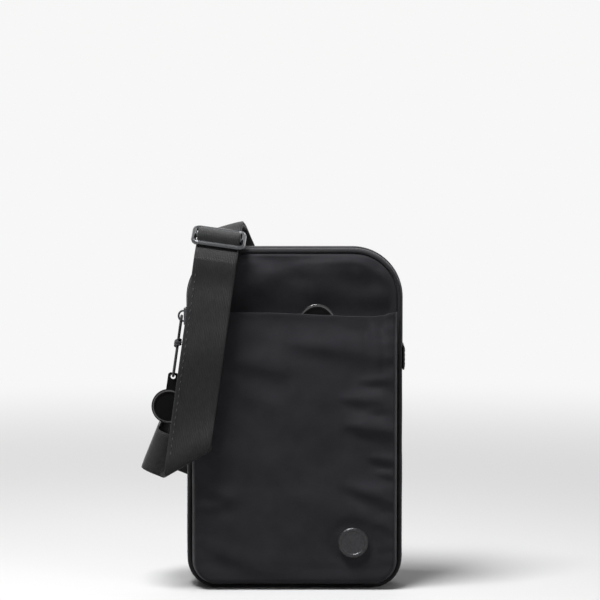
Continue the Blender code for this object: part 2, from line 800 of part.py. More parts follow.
def main_slider_travel():
    """Where the main slider rests, measured along the zip from its left end."""
    return SLIDER_LENGTH / 2 + MAIN_SLIDER_BACK_OFF


def make_pulls():
    """Both sliders with their cords and discs."""
    slider = slider_mesh("slider")
    (x, z), _ = rim_frame(main_slider_travel())
    upright = Matrix.Translation((x, 0, z)) @ Matrix.Rotation(-math.pi / 2, 4, "Y")
    adopt("main_zip_slider", slider, "hardware", upright)
    pivot = Matrix.Translation((x - eye_height(), 0, z))
    swing = pivot @ Matrix.Rotation(PULL_REST_ANGLE, 4, "Y")
    adopt("main_pull_cord", cord_mesh("main_cord", 0.0), "cord", swing)
    eye = swing @ Matrix.Translation((0, 0, -CORD_LENGTH))
    disc = disc_mesh("disc")
    adopt("main_pull_disc", disc, "rubber", eye)

    x, y, z = on_front(SMALL_SLIDER_TRAVEL, 0, 0)
    facing = Matrix.Translation((x, y, z)) @ Matrix.Rotation(math.pi / 2, 4, "X")
    adopt("small_zip_slider", slider, "hardware", facing)
    pivot = Matrix.Translation((x, y - eye_height(), z))
    lying = pivot @ Matrix.Rotation(-SMALL_PULL_TILT, 4, "Z")
    lying = lying @ Matrix.Rotation(-math.pi / 2 - SMALL_PULL_RISE, 4, "Y")
    adopt("small_pull_cord", cord_mesh("small_cord", math.pi / 2), "cord", lying)
    eye = lying @ Matrix.Translation((0, 0, -CORD_LENGTH))
    eye = eye @ Matrix.Rotation(SMALL_DISC_DROOP, 4, "Y")
    adopt("small_pull_disc", disc, "rubber", eye)


def bend(point, key, fold, side):
    """Bend space round one crease of the flat strap, for the points whose flat place lies past it."""
    at, skew, radius, turn, towards = fold
    skew, turn = math.radians(skew), math.radians(turn)
    crease = (math.sin(skew), math.cos(skew))
    normal = (side * math.cos(skew), -side * math.sin(skew))
    reach = (key[0] - side * at) * normal[0] + key[1] * normal[1]
    if reach <= 0:
        return point
    s, v, h = point[0] - side * at, point[1], point[2] * towards
    q = s * normal[0] + v * normal[1]
    along = s * crease[0] + v * crease[1]
    if reach < radius * turn:
        angle = reach / radius
        q, h = (radius - h) * math.sin(angle), radius - (radius - h) * math.cos(angle)
    else:
        past = q - radius * turn
        q, h = (
            radius * math.sin(turn) + past * math.cos(turn) - h * math.sin(turn),
            radius * (1 - math.cos(turn)) + past * math.sin(turn) + h * math.cos(turn),
        )
    s = along * crease[0] + q * normal[0]
    v = along * crease[1] + q * normal[1]
    return (s + side * at, v, h * towards)


def strap_base():
    """The frame of the strap's front run: along it, across it and out to the front."""
    lean = STRAP_LEAN
    along = Vector((math.sin(lean), 0, math.cos(lean)))
    across = Vector((math.cos(lean), 0, -math.sin(lean)))
    out = Vector((0, -1, 0))
    foot = Vector(
        (BAG_WIDTH * STRAP_X_SHARE, -(POCKET_FACE_Y + STRAP_STANDOFF), BAG_HEIGHT - STRAP_DROP)
    )
    return foot, along, across, out


def strap_point(s, v, h):
    """Where a point of the flat webbing lies once all its folds are made."""
    share = min(1.0, max(0.0, (s - TWIST_FROM) / (TWIST_TO - TWIST_FROM)))
    twist = math.radians(TWIST_DEGREES) * share
    point = (s, v * math.cos(twist) - h * math.sin(twist), v * math.sin(twist) + h * math.cos(twist))
    key = (s, v)
    for folds, side in ((FOLDS_UP, 1), (FOLDS_DOWN, -1)):
        for fold in reversed(folds):
            point = bend(point, key, fold, side)
    foot, along, across, out = strap_base()
    return foot + along * point[0] + across * point[1] + out * point[2]


def strap_frame(s, h=0.0):
    """The place and axes of the webbing at a distance along it: X across, Z along, Y out."""
    step = WEBBING_THICKNESS / 4
    here = strap_point(s, 0, h)
    along = (strap_point(s + step, 0, h) - here).normalized()
    across = (strap_point(s, step, h) - here).normalized()
    out = along.cross(across)
    frame = Matrix((across, out, along)).transposed().to_4x4()
    frame.translation = here
    return frame


def fold_zone(fold, side):
    """Where a fold's bend lies along the strap, and the skew of the lines that are laid through it."""
    at, skew, radius, turn, _ = fold
    skew = math.radians(skew)
    end = at + radius * math.radians(turn) / math.cos(skew)
    beside = WEBBING_WIDTH / 2 * math.tan(abs(skew))
    adjuster_end = ADJUSTER_AT + ADJUSTER_LENGTH / 2
    if side > 0 and at - beside < adjuster_end < end + beside:
        at, end, skew = at - beside, end + beside, 0.0
    return *sorted((side * at, side * end)), skew


def strap_stations(start, end):
    """Distances along the webbing from start to end, close together in the folds, with their skews."""
    first, last = sorted((start, end))
    marks = [(first, 0.0)]
    zones = [fold_zone(fold, 1) for fold in FOLDS_UP] + [fold_zone(fold, -1) for fold in FOLDS_DOWN]
    for low, high, skew in sorted(zones):
        low, high = max(low, first), min(high, last)
        if low < high:
            count = max(4, round((high - low) / FOLD_STEP))
            marks += [(low + (high - low) * i / count, skew) for i in range(count + 1)]
    marks.append((last, 0.0))
    filled = [marks[0]]
    for place, skew in marks[1:]:
        before, skew_before = filled[-1]
        count = math.ceil((place - before) / PLAIN_STEP)
        for i in range(1, count + 1):
            share = i / count
            filled.append((before + (place - before) * share, skew_before + (skew - skew_before) * share))
    return filled if end > start else filled[::-1]


def adjuster_dip(s):
    """The share of its dip behind the adjuster's outer bars that the webbing has at a distance."""
    bar = (ADJUSTER_LENGTH - ADJUSTER_WIRE) / 2
    share = abs(s - ADJUSTER_AT) / bar - ADJUSTER_DIP_SHARE
    share = min(1.0, max(0.0, share / (ADJUSTER_LEVEL_SHARE - ADJUSTER_DIP_SHARE)))
    return 1 - share * share * (3 - 2 * share)


def turn_round(centre_s, centre_h, radius, start, sweep, steps=8):
    """Points of the webbing's middle where it goes round a bar, in distance and height."""
    return [
        (
            centre_s + radius * math.cos(start + sweep * i / steps),
            centre_h + radius * math.sin(start + sweep * i / steps),
            0.0,
        )
        for i in range(steps + 1)
    ]


def bar_turn():
    """The radius of the webbing's middle round a ring's bar."""
    return HARDWARE_WIRE / 2 + BAR_CLEARANCE + WEBBING_THICKNESS / 2


def strap_path():
    """The webbing from its sewn left tail, through adjuster and right ring, to the adjuster's bar."""
    layer = WEBBING_THICKNESS + LAYER_GAP
    ring = bar_turn()
    hook = ADJUSTER_WIRE / 2 + SEAM_GAP + WEBBING_THICKNESS / 2
    over = hook + WEBBING_THICKNESS + SEAM_GAP
    under = ADJUSTER_WIRE / 2 + SEAM_GAP + WEBBING_THICKNESS / 2
    bar = ADJUSTER_LENGTH / 2 - ADJUSTER_WIRE / 2
    left, right, middle = -STRAP_LEFT_END, STRAP_RIGHT_END, ADJUSTER_AT
    path = [(left + TAIL_LENGTH, layer, 0.0), (left + TAIL_TAPER, layer, 0.0)]
    path += turn_round(left, ring, ring, math.pi / 2, math.pi)
    front = strap_stations(left + TAIL_TAPER, middle - bar * ADJUSTER_DIP_SHARE)
    path += [(s, -under * adjuster_dip(s), skew) for s, skew in front]
    path += [
        (middle - bar * 0.75, -under, 0.0),
        (middle - bar * 0.40, over * 0.62, 0.0),
        (middle - bar * 0.22, over * 0.94, 0.0),
        (middle, over, 0.0),
        (middle + bar * 0.22, over * 0.94, 0.0),
        (middle + bar * 0.40, over * 0.62, 0.0),
        (middle + bar * 0.75, -under, 0.0),
    ]
    back = strap_stations(middle + bar * ADJUSTER_DIP_SHARE, right - TAIL_TAPER)
    path += [(s, -under * adjuster_dip(s), skew) for s, skew in back]
    path += turn_round(right, -ring, ring, math.pi / 2, -math.pi)
    path += [(s, -layer - under * adjuster_dip(s), skew) for s, skew in reversed(back)]
    path += [
        (middle + bar * 0.80, -under - layer, 0.0),
        (middle + bar * 0.30, -hook, 0.0),
    ]
    path += turn_round(middle, 0.0, hook, -math.pi / 2, -math.pi, 6)
    return path


def offset_sides(points, thickness):
    """Both sides of a band that follows points in a plane."""
    sides = [[], []]
    for i, here in enumerate(points):
        before, after = points[max(i - 1, 0)], points[min(i + 1, len(points) - 1)]
        run = Vector((after[0] - before[0], after[1] - before[1])).normalized()
        for side, reach in zip(sides, (thickness / 2, -thickness / 2)):
            side.append((here[0] - run.y * reach, here[1] + run.x * reach))
    return sides


def make_strap():
    """The one length of webbing, folded as it lies, both its ends round the rings."""
    path = strap_path()
    upper, lower = offset_sides(path, WEBBING_THICKNESS)
    stations = [(high, low, math.tan(skew)) for high, low, (_, _, skew) in zip(upper, lower, path)]

    def place(station, across, height):
        s, h = station[0] if height else station[1]
        return strap_point(s + across * station[2], across, h)

    rows = [-WEBBING_WIDTH / 2, 0, WEBBING_WIDTH / 2]
    mesh = laid_strip("webbing", stations, rows, lambda column, lane: True, 0, 1, place)
    adopt("strap_webbing", mesh, "webbing")


def wire_frame(name, width, length, wire, bars):
    """A rounded rectangular wire loop in its own X-Z plane, with cross bars at the given heights."""
    half_x, half_z = (width - wire) / 2, (length - wire) / 2
    radius = min(wire, half_z / 2)
    route = []
    for sx, sz, start in ((1, -1, -90), (1, 1, 0), (-1, 1, 90), (-1, -1, 180)):
        for i in range(4):
            angle = math.radians(start + 30 * i)
            route.append(
                (
                    sx * (half_x - radius) + radius * math.cos(angle),
                    0,
                    sz * (half_z - radius) + radius * math.sin(angle),
                )
            )
    piece = adopt(name, tube_mesh(name, route, wire, closed=True), "hardware")
    for height in bars:
        rod = tube_mesh("bar", [(-half_x, 0, height), (half_x, 0, height)], wire)
        boolean(piece, adopt("cross_bar", rod, None, helper=True), "UNION")
    return piece


def ring_frames():
    """The frames of the two rings' lower bars, where the webbing turns round them."""
    left = strap_frame(-STRAP_LEFT_END, bar_turn())
    right = strap_frame(STRAP_RIGHT_END, -bar_turn())
    return left, right


def make_hardware():
    """The adjuster, the two rings, and the tabs that hold the rings on the back panel."""
    adjuster = wire_frame("adjuster", ADJUSTER_WIDTH, ADJUSTER_LENGTH, ADJUSTER_WIRE, [0.0])
    adjuster.matrix_world = strap_frame(ADJUSTER_AT)
    reach = RING_DROP
    width = RING_CLEAR_WIDTH + 2 * HARDWARE_WIRE
    near = PANEL_FACE_Y + SEAM_GAP + TAB_THICKNESS / 2 + tab_turn()
    for frame, label in zip(ring_frames(), ("left", "right")):
        low = frame.translation
        depth = near - low.y
        high = low + Vector((0, depth, math.sqrt(reach * reach - depth * depth)))
        ring = wire_frame("ring_" + label, width, reach + HARDWARE_WIRE, HARDWARE_WIRE, [])
        lean = Matrix.Rotation(-math.asin(depth / reach), 4, "X")
        roll = Matrix.Rotation(math.atan2(-frame.col[0].z, frame.col[0].x), 4, "Y")
        seat = Matrix.Translation(high) @ roll
        ring.matrix_world = seat @ lean @ Matrix.Translation((0, 0, -reach / 2))
        make_tab(label, seat)


def tab_turn():
    """The radius of a tab's middle round the ring's upper bar."""
    return HARDWARE_WIRE / 2 + SEAM_GAP + TAB_THICKNESS / 2


def make_tab(label, seat):
    """A tab of webbing folded round the ring's upper bar and sewn flat on the back panel."""
    bar = seat.translation
    radius = tab_turn()
    near = PANEL_FACE_Y + SEAM_GAP + TAB_THICKNESS / 2
    layer = TAB_THICKNESS + SEAM_GAP
    top = TAB_SEWN_LENGTH
    path = [(near - bar.y, top), (near - bar.y, radius * 2)]
    for i in range(9):
        angle = math.pi + math.pi * i / 8
        path.append((radius * math.cos(angle), radius * math.sin(angle)))
    path += [(radius, radius), (near - bar.y + layer, radius * 3.5), (near - bar.y + layer, top)]
    first, second = offset_sides(path, TAB_THICKNESS)
    outline = first + second[::-1]
    sideways = Matrix(((0, 0, 1, 0), (1, 0, 0, 0), (0, 1, 0, 0), (0, 0, 0, 1)))
    tab = flat_mesh(label, [outline], WEBBING_WIDTH, seat @ sideways)
    adopt("ring_tab_" + label, tab, "webbing")


def main():
    """Build the whole bag."""
    clear_scene()
    make_panels()
    make_gusset()
    make_piping()
    make_main_zip()
    make_small_zip()
    make_pocket()
    make_badge()
    make_pulls()
    make_strap()
    make_hardware()


main()
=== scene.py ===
"""Dresses the crossbody bag's CAD frame for a studio picture.

Each sub-assembly is a class that builds its cloth, cord or stitching over the frame and gives every
visible surface a procedural finish. Metres, +Z up, the front faces -Y.
"""

import logging
import math
from collections.abc import Callable, Sequence
from dataclasses import dataclass, field
from enum import Enum

import bmesh
import bpy
from mathutils import Matrix, Vector, noise


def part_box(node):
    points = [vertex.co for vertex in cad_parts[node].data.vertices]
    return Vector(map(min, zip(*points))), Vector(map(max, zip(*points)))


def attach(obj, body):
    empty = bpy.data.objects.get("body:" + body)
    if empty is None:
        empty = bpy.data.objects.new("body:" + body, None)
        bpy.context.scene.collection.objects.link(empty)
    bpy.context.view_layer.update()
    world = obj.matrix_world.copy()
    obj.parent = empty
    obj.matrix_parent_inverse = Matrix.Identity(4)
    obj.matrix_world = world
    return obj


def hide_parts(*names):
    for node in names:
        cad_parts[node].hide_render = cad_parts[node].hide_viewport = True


LOG = logging.getLogger("crossbody_bag")
MM = 0.001
# Where the darker shade of a tint ends and its lighter shade starts.
SHADE_FROM, SHADE_TO = 0.25, 0.75
# How much closer a grid's places lie at its ends, and the share of a span that an exact one clears.
END_EASE, LEAST_GAP = 0.72, 0.35
# The points of a flat band's rounded edge, as angles from its top.
ROUND_ANGLES = (0.8, 1.57, 2.34)
# A direction that no tube here starts along.
TUBE_START = Vector((0.31, 0.87, 0.38))
# A place of the strap: distance along, height or place across, and slope or height.
Station = tuple[float, float, float]

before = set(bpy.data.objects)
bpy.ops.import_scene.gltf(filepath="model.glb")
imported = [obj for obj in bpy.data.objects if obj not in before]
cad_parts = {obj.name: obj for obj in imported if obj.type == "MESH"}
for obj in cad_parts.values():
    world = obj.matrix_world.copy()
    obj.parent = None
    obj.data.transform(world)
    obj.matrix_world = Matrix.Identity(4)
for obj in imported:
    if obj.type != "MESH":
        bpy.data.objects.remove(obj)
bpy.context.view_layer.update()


class Axis(Enum):
    """The pair of coordinates that a weave runs along."""

    SHEET = "uv"
    SOLID = "object"


class Weave(Enum):
    """How a cloth's threads cross."""

    PLAIN = "plain"
    RIBBED = "ribbed"
    BRAIDED = "braided"


class Face(Enum):
    """The bag's two broad faces, by the sign of their depth."""

    FRONT = -1
    BACK = 1


class Side(Enum):
    """The bag's two narrow sides, by the sign of their place across."""

    LEFT = -1
    RIGHT = 1


class NodeBuilder:
    """Adds shader nodes to one material and links them."""

    def __init__(self, name: str) -> None:
        """Start a material with only its Principled shader and output.

        Args:
            name: The material's name.
        """
        self.material = bpy.data.materials.new(name)
        self.material.use_nodes = True
        self.tree = self.material.node_tree
        self.shader = self.tree.nodes["Principled BSDF"]

    def add(self, kind: str, **settings: object) -> bpy.types.Node:
        """Add a node.

        Args:
            kind: The node's Blender type, without the ShaderNode prefix.
            settings: Properties of the node, such as its operation.

        Returns:
            The new node.
        """
        node = self.tree.nodes.new("ShaderNode" + kind)
        for key, value in settings.items():
            setattr(node, key, value)
        return node

    def link(self, source: bpy.types.NodeSocket, target: bpy.types.NodeSocket) -> None:
        """Join an output to an input."""
        self.tree.links.new(source, target)

    def maths(self, operation: str, first: object, second: object = 0.0) -> bpy.types.NodeSocket:
        """Add a Math node.

        Args:
            operation: The Math node's operation.
            first: A socket or a number for the first input.
            second: A socket or a number for the second input.

        Returns:
            The node's output socket.
        """
        node = self.add("Math", operation=operation)
        for socket, value in zip(node.inputs, (first, second)):
            if isinstance(value, bpy.types.NodeSocket):
                self.link(value, socket)
            else:
                socket.default_value = value
        return node.outputs[0]

    def waves(self, axis: Axis, pitches: Sequence[float]) -> list[bpy.types.NodeSocket]:
        """Make one sine wave along each coordinate.

        Args:
            axis: Whether the coordinates are the sheet's own or the solid's.
            pitches: The wavelength along each coordinate, in metres.

        Returns:
            A socket from -1 to 1 for each pitch.
        """
        coordinates = self.add("TexCoord")
        parts = self.add("SeparateXYZ")
        self.link(coordinates.outputs["UV" if axis is Axis.SHEET else "Object"], parts.inputs[0])
        made = []
        for output, pitch in zip(parts.outputs, pitches):
            turns = self.maths("MULTIPLY", output, math.tau / pitch)
            made.append(self.maths("SINE", turns))
        return made

    def clouds(self, scale: float, detail: float = 3.0) -> bpy.types.NodeSocket:
        """Make soft noise over the solid.

        Args:
            scale: How fine the noise is, per metre.
            detail: How many finer layers it has.

        Returns:
            The noise factor's socket, from 0 to 1.
        """
        coordinates = self.add("TexCoord")
        texture = self.add("TexNoise")
        texture.inputs["Scale"].default_value = scale
        texture.inputs["Detail"].default_value = detail
        self.link(coordinates.outputs["Object"], texture.inputs["Vector"])
        return texture.outputs["Fac"]

    def relief(self, height: bpy.types.NodeSocket, strength: float, depth: float) -> None:
        """Drive the shader's normal from a height.

        Args:
            height: The height's socket.
            strength: How far the bump shows, from 0 to 1.
            depth: The height of one unit, in metres.
        """
        bump = self.add("Bump")
        bump.inputs["Strength"].default_value = strength
        bump.inputs["Distance"].default_value = depth
        self.link(height, bump.inputs["Height"])
        self.link(bump.outputs[0], self.shader.inputs["Normal"])

    def tint(
        self,
        factor: bpy.types.NodeSocket,
        dark: Sequence[float],
        light: Sequence[float],
    ) -> None:
        """Colour the surface between two shades.

        Args:
            factor: Where each point lies between them, from 0 to 1.
            dark: The shade at 0.
            light: The shade at 1.
        """
        ramp = self.add("ValToRGB")
        ramp.color_ramp.elements[0].color = (*dark, 1.0)
        ramp.color_ramp.elements[1].color = (*light, 1.0)
        ramp.color_ramp.elements[0].position = SHADE_FROM
        ramp.color_ramp.elements[1].position = SHADE_TO
        self.link(factor, ramp.inputs[0])
        self.link(ramp.outputs[0], self.shader.inputs["Base Color"])

    def roughen(self, factor: bpy.types.NodeSocket, low: float, high: float) -> None:
        """Vary the roughness between two values.

        Args:
            factor: Where each point lies between them, from 0 to 1.
            low: The roughness at 0.
            high: The roughness at 1.
        """
        span = self.add("MapRange")
        span.inputs["To Min"].default_value = low
        span.inputs["To Max"].default_value = high
        self.link(factor, span.inputs["Value"])
        self.link(span.outputs[0], self.shader.inputs["Roughness"])


@dataclass(frozen=True)
class Cloth:
    """A woven finish: thread pitch, shade and sheen."""

    name: str
    dark: tuple[float, float, float]
    light: tuple[float, float, float]
    weave: Weave = Weave.PLAIN
    axis: Axis = Axis.SHEET
    along: float = 0.9 * MM
    across: float = 0.9 * MM
    depth: float = 0.12 * MM
    roughness: float = 0.62
    sheen: float = 0.15
    mottle: float = 260.0
    specular: float = 0.3
    ribs: float = 0.75
    fleck: float = 0.16
    relief: float = 0.6
    smoothest: float = 0.05
    roughest: float = 0.07
    sheen_roughness: float = 0.45
    sheen_tint: tuple[float, float, float, float] = (0.9, 0.88, 0.95, 1.0)

    def material(self) -> bpy.types.Material:
        """Build the cloth's material.

        Returns:
            The material, with weave, mottling and sheen.
        """
        build = NodeBuilder(self.name)
        first, second = build.waves(self.axis, (self.along, self.across))[:2]
        if self.weave is Weave.RIBBED:
            threads = build.maths("ADD", build.maths("MULTIPLY", first, self.ribs), second)
        elif self.weave is Weave.BRAIDED:
            threads = build.maths("MAXIMUM", first, second)
        else:
            threads = build.maths("MULTIPLY", first, second)
        clouds = build.clouds(self.mottle)
        fleck = build.maths("MULTIPLY_ADD", threads, self.fleck)
        fleck.node.inputs[2].default_value = 0.0
        build.tint(build.maths("ADD", clouds, fleck), self.dark, self.light)
        build.relief(build.maths("ADD", threads, clouds), self.relief, self.depth)
        build.roughen(clouds, self.roughness - self.smoothest, self.roughness + self.roughest)
        shader = build.shader
        shader.inputs["Sheen Weight"].default_value = self.sheen
        shader.inputs["Sheen Roughness"].default_value = self.sheen_roughness
        shader.inputs["Sheen Tint"].default_value = self.sheen_tint
        shader.inputs["Specular IOR Level"].default_value = self.specular
        return build.material


@dataclass(frozen=True)
class Metal:
    """A coated metal finish with faint scuffs."""

    name: str
    shade: tuple[float, float, float]
    roughness: float
    metallic: float = 1.0
    coat: float = 0.4
    coat_roughness: float = 0.15
    scuffs: float = 900.0
    scuff_detail: float = 5.0
    wear: float = 1.5
    dust: float = 0.004
    smoothest: float = 0.8
    roughest: float = 1.3
    relief: float = 0.15
    depth: float = 0.05 * MM

    def material(self) -> bpy.types.Material:
        """Build the metal's material.

        Returns:
            The material, with scuffed roughness and a thin coat.
        """
        build = NodeBuilder(self.name)
        clouds = build.clouds(self.scuffs, self.scuff_detail)
        worn = tuple(min(1.0, part * self.wear + self.dust) for part in self.shade)
        build.tint(clouds, self.shade, worn)
        build.roughen(clouds, self.roughness * self.smoothest, self.roughness * self.roughest)
        build.relief(clouds, self.relief, self.depth)
        build.shader.inputs["Metallic"].default_value = self.metallic
        build.shader.inputs["Coat Weight"].default_value = self.coat
        build.shader.inputs["Coat Roughness"].default_value = self.coat_roughness
        return build.material


@dataclass(frozen=True)
class Moulded:
    """A moulded plastic or rubber finish with a fine grain."""

    name: str
    shade: tuple[float, float, float]
    roughness: float
    specular: float = 0.3
    grain: float = 2200.0
    grain_detail: float = 4.0
    depth: float = 0.04 * MM
    relief: float = 0.35
    wear: float = 1.45
    smoothest: float = 0.06
    roughest: float = 0.08

    def material(self) -> bpy.types.Material:
        """Build the moulded material.

        Returns:
            The material, with grain and slight wear.
        """
        build = NodeBuilder(self.name)
        grain = build.clouds(self.grain, self.grain_detail)
        worn = tuple(part * self.wear for part in self.shade)
        build.tint(grain, self.shade, worn)
        build.roughen(grain, self.roughness - self.smoothest, self.roughness + self.roughest)
        build.relief(grain, self.relief, self.depth)
        build.shader.inputs["Specular IOR Level"].default_value = self.specular
        return build.material


@dataclass
class Finishes:
    """Every finish of the bag, made once."""

    nylon: bpy.types.Material = field(init=False)
    lining: bpy.types.Material = field(init=False)
    binding: bpy.types.Material = field(init=False)
    webbing: bpy.types.Material = field(init=False)
    tape: bpy.types.Material = field(init=False)
    teeth: bpy.types.Material = field(init=False)
    hardware: bpy.types.Material = field(init=False)
    badge: bpy.types.Material = field(init=False)
    cord: bpy.types.Material = field(init=False)
    rubber: bpy.types.Material = field(init=False)
    rim: bpy.types.Material = field(init=False)
    thread: bpy.types.Material = field(init=False)
    picks: bpy.types.Material = field(init=False)

    def __post_init__(self) -> None:
        """Make each material."""
        self.nylon = Cloth(
            "nylon",
            (0.0295, 0.0285, 0.0328),
            (0.0360, 0.0348, 0.0402),
            along=0.42 * MM,
            across=0.42 * MM,
            depth=0.05 * MM,
            roughness=0.42,
            sheen=0.04,
            mottle=90.0,
            specular=0.07,
        ).material()
        self.lining = Cloth(
            "lining", (0.030, 0.030, 0.034), (0.048, 0.048, 0.052), axis=Axis.SOLID, sheen=0.1
        ).material()
        self.binding = Cloth(
            "binding", (0.0220, 0.0216, 0.0238), (0.0310, 0.0303, 0.0335), along=0.6 * MM, specular=0.10
        ).material()
        self.webbing = Cloth(
            "webbing",
            (0.0185, 0.0185, 0.0194),
            (0.0275, 0.0275, 0.0288),
            weave=Weave.RIBBED,
            along=0.55 * MM,
            across=1.0 * MM,
            depth=0.09 * MM,
            roughness=0.38,
            sheen=0.05,
            specular=0.16,
        ).material()
        self.tape = Cloth(
            "tape", (0.017, 0.017, 0.019), (0.030, 0.030, 0.033), weave=Weave.RIBBED, across=0.7 * MM
        ).material()
        self.teeth = Moulded("teeth", (0.028, 0.028, 0.031), 0.36).material()
        self.hardware = Metal("hardware", (0.060, 0.062, 0.066), 0.20).material()
        self.badge = Metal("badge", (0.030, 0.030, 0.032), 0.38, coat=0.15).material()
        self.cord = Cloth(
            "cord",
            (0.018, 0.018, 0.020),
            (0.042, 0.042, 0.045),
            weave=Weave.BRAIDED,
            along=0.9 * MM,
            across=0.9 * MM,
            depth=0.2 * MM,
            sheen=0.2,
        ).material()
        # The disc's rubber comes as two copies of one material: the rim bead's copy is lighter and glossier,
        # a painted highlight, and the disc's own copy below is darker and duller, painted shade on its face.
        self.rim = Moulded("rim", (0.0120, 0.0120, 0.0125), 0.16, specular=0.9).material()
        self.rubber = Moulded("rubber", (0.0062, 0.0062, 0.0064), 0.45, specular=0.05).material()
        self.thread = Cloth(
            "thread", (0.014, 0.014, 0.015), (0.030, 0.030, 0.033), axis=Axis.SOLID, along=0.5 * MM
        ).material()
        self.picks = Cloth(
            "picks", (0.055, 0.055, 0.058), (0.090, 0.090, 0.094), axis=Axis.SOLID, along=0.5 * MM
        ).material()


def clamp(value: float) -> float:
    """Keep a value between 0 and 1."""
    return min(1.0, max(0.0, value))


def bell(offset: float, width: float, power: int = 2) -> float:
    """A smooth bump.

    Args:
        offset: The distance from its middle.
        width: The distance at which it has fallen to about a third.
        power: How square its shoulders are.

    Returns:
        1 at the middle, falling towards 0.
    """
    return math.exp(-((offset / width) ** power))


@dataclass(frozen=True)
class Rumple:
    """A layer of smooth noise over cloth: its height, how fine it is each way, and its seed."""

    height: float
    across: float
    up: float
    seed: float
    shear: float = 0.0

    def lift(self, x: float, z: float) -> float:
        """How far the layer lifts the cloth at a place.

        Args:
            x: The place across.
            z: The place up.

        Returns:
            The lift, between about -height and height.
        """
        return self.height * noise.noise(Vector((x * self.across + z * self.shear, z * self.up, self.seed)))


def put(
    name: str,
    mesh: bpy.types.Mesh,
    material: bpy.types.Material,
    body: str,
    stands_for: Sequence[str] = (),
) -> bpy.types.Object:
    """Place a finished piece in the scene and tie it to the frame.

    Args:
        name: The piece's name.
        mesh: Its mesh, in the bag's own frame.
        material: Its finish.
        body: The CAD body that it moves with.
        stands_for: The CAD nodes that it replaces.

    Returns:
        The new object.
    """
    piece = bpy.data.objects.new(name, mesh)
    bpy.context.scene.collection.objects.link(piece)
    mesh.materials.clear()
    mesh.materials.append(material)
    mesh.shade_smooth()
    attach(piece, body)
    if stands_for:
        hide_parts(*stands_for)
    LOG.info("%s: %d faces on %s", name, len(mesh.polygons), body)
    return piece


def swept_mesh(
    name: str,
    rings: Sequence[Sequence[Vector]],
    along: Sequence[float],
    around: Sequence[float],
    closed: bool = False,
) -> bpy.types.Mesh:
    """Skin a row of rings, each a closed cross-section with the same count of points.

    Args:
        name: The mesh's name.
        rings: The cross-sections in order.
        along: The texture coordinate of each ring.
        around: The texture coordinate of each point round a ring, with one more to close it.
        closed: Whether the last ring joins the first.

    Returns:
        A closed mesh with texture coordinates in metres.
    """
    build = bmesh.new()
    layer = build.loops.layers.uv.new("UVMap")
    rows = [[build.verts.new(point) for point in ring] for ring in rings]
    count = len(rows[0])
    spans = len(rows) if closed else len(rows) - 1
    for i in range(spans):
        here, there = rows[i], rows[(i + 1) % len(rows)]
        end = along[i + 1] if i + 1 < len(along) else along[i] + (along[i] - along[i - 1])
        for j in range(count):
            k = (j + 1) % count
            face = build.faces.new((here[j], here[k], there[k], there[j]))
            corners = (
                (along[i], around[j]),
                (along[i], around[j + 1]),
                (end, around[j + 1]),
                (end, around[j]),
            )
            for loop, corner in zip(face.loops, corners):
                loop[layer].uv = corner
    if not closed:
        build.faces.new(rows[0][::-1])
        build.faces.new(rows[-1])
    if build.calc_volume(signed=True) < 0:
        bmesh.ops.reverse_faces(build, faces=build.faces)
    mesh = bpy.data.meshes.new(name)
    build.to_mesh(mesh)
    build.free()
    return mesh


def flat_section(width: float, thickness: float, across: int = 6) -> list[tuple[float, float]]:
    """The cross-section of a flat band with rounded edges.

    Args:
        width: The band's width.
        thickness: Its thickness.
        across: How many spans cross each face.

    Returns:
        Points (across, height) in order round the section.
    """
    radius = thickness / 2
    half = width / 2 - radius
    top = [(-half + 2 * half * i / across, radius) for i in range(across + 1)]
    right = [(half + radius * math.sin(a), radius * math.cos(a)) for a in ROUND_ANGLES]
    bottom = [(x, -radius) for x, _ in reversed(top)]
    left = [(-x, -y) for x, y in right]
    return top + right + bottom + left


def section_steps(section: Sequence[tuple[float, float]]) -> list[float]:
    """Texture coordinates round a cross-section.

    Args:
        section: The cross-section's points.

    Returns:
        The distance round it at each point, with the full round last.
    """
    total = 0.0
    steps = [0.0]
    for i, here in enumerate(section):
        there = section[(i + 1) % len(section)]
        total += math.dist(here, there)
        steps.append(total)
    return steps


def tube_rings(path: Sequence[Vector], radius: float, sides: int, closed: bool) -> list[list[Vector]]:
    """Rings round a smooth path, turned as little as the path allows.

    Args:
        path: The tube's centre line.
        radius: Its radius.
        sides: How many points each ring has.
        closed: Whether the path closes on itself.

    Returns:
        One ring for each point of the path.
    """
    rings = []
    normal = TUBE_START
    count = len(path)
    for i, here in enumerate(path):
        before = path[i - 1] if i or closed else here
        after = path[(i + 1) % count] if i + 1 < count or closed else here
        run = (after - before).normalized()
        normal = (normal - run * normal.dot(run)).normalized()
        other = run.cross(normal)
        angles = [math.tau * j / sides for j in range(sides)]
        rings.append([here + (normal * math.cos(a) + other * math.sin(a)) * radius for a in angles])
    return rings


def tube(
    name: str,
    path: Sequence[Vector],
    radius: float,
    sides: int = 12,
    closed: bool = False,
) -> bpy.types.Mesh:
    """A round tube along a path.

    Args:
        name: The mesh's name.
        path: The tube's centre line.
        radius: Its radius.
        sides: How many points go round it.
        closed: Whether the path closes on itself.

    Returns:
        The tube's mesh.
    """
    along = [0.0]
    for here, there in zip(path, path[1:]):
        along.append(along[-1] + (there - here).length)
    around = [math.tau * radius * j / sides for j in range(sides + 1)]
    return swept_mesh(name, tube_rings(path, radius, sides, closed), along, around, closed)


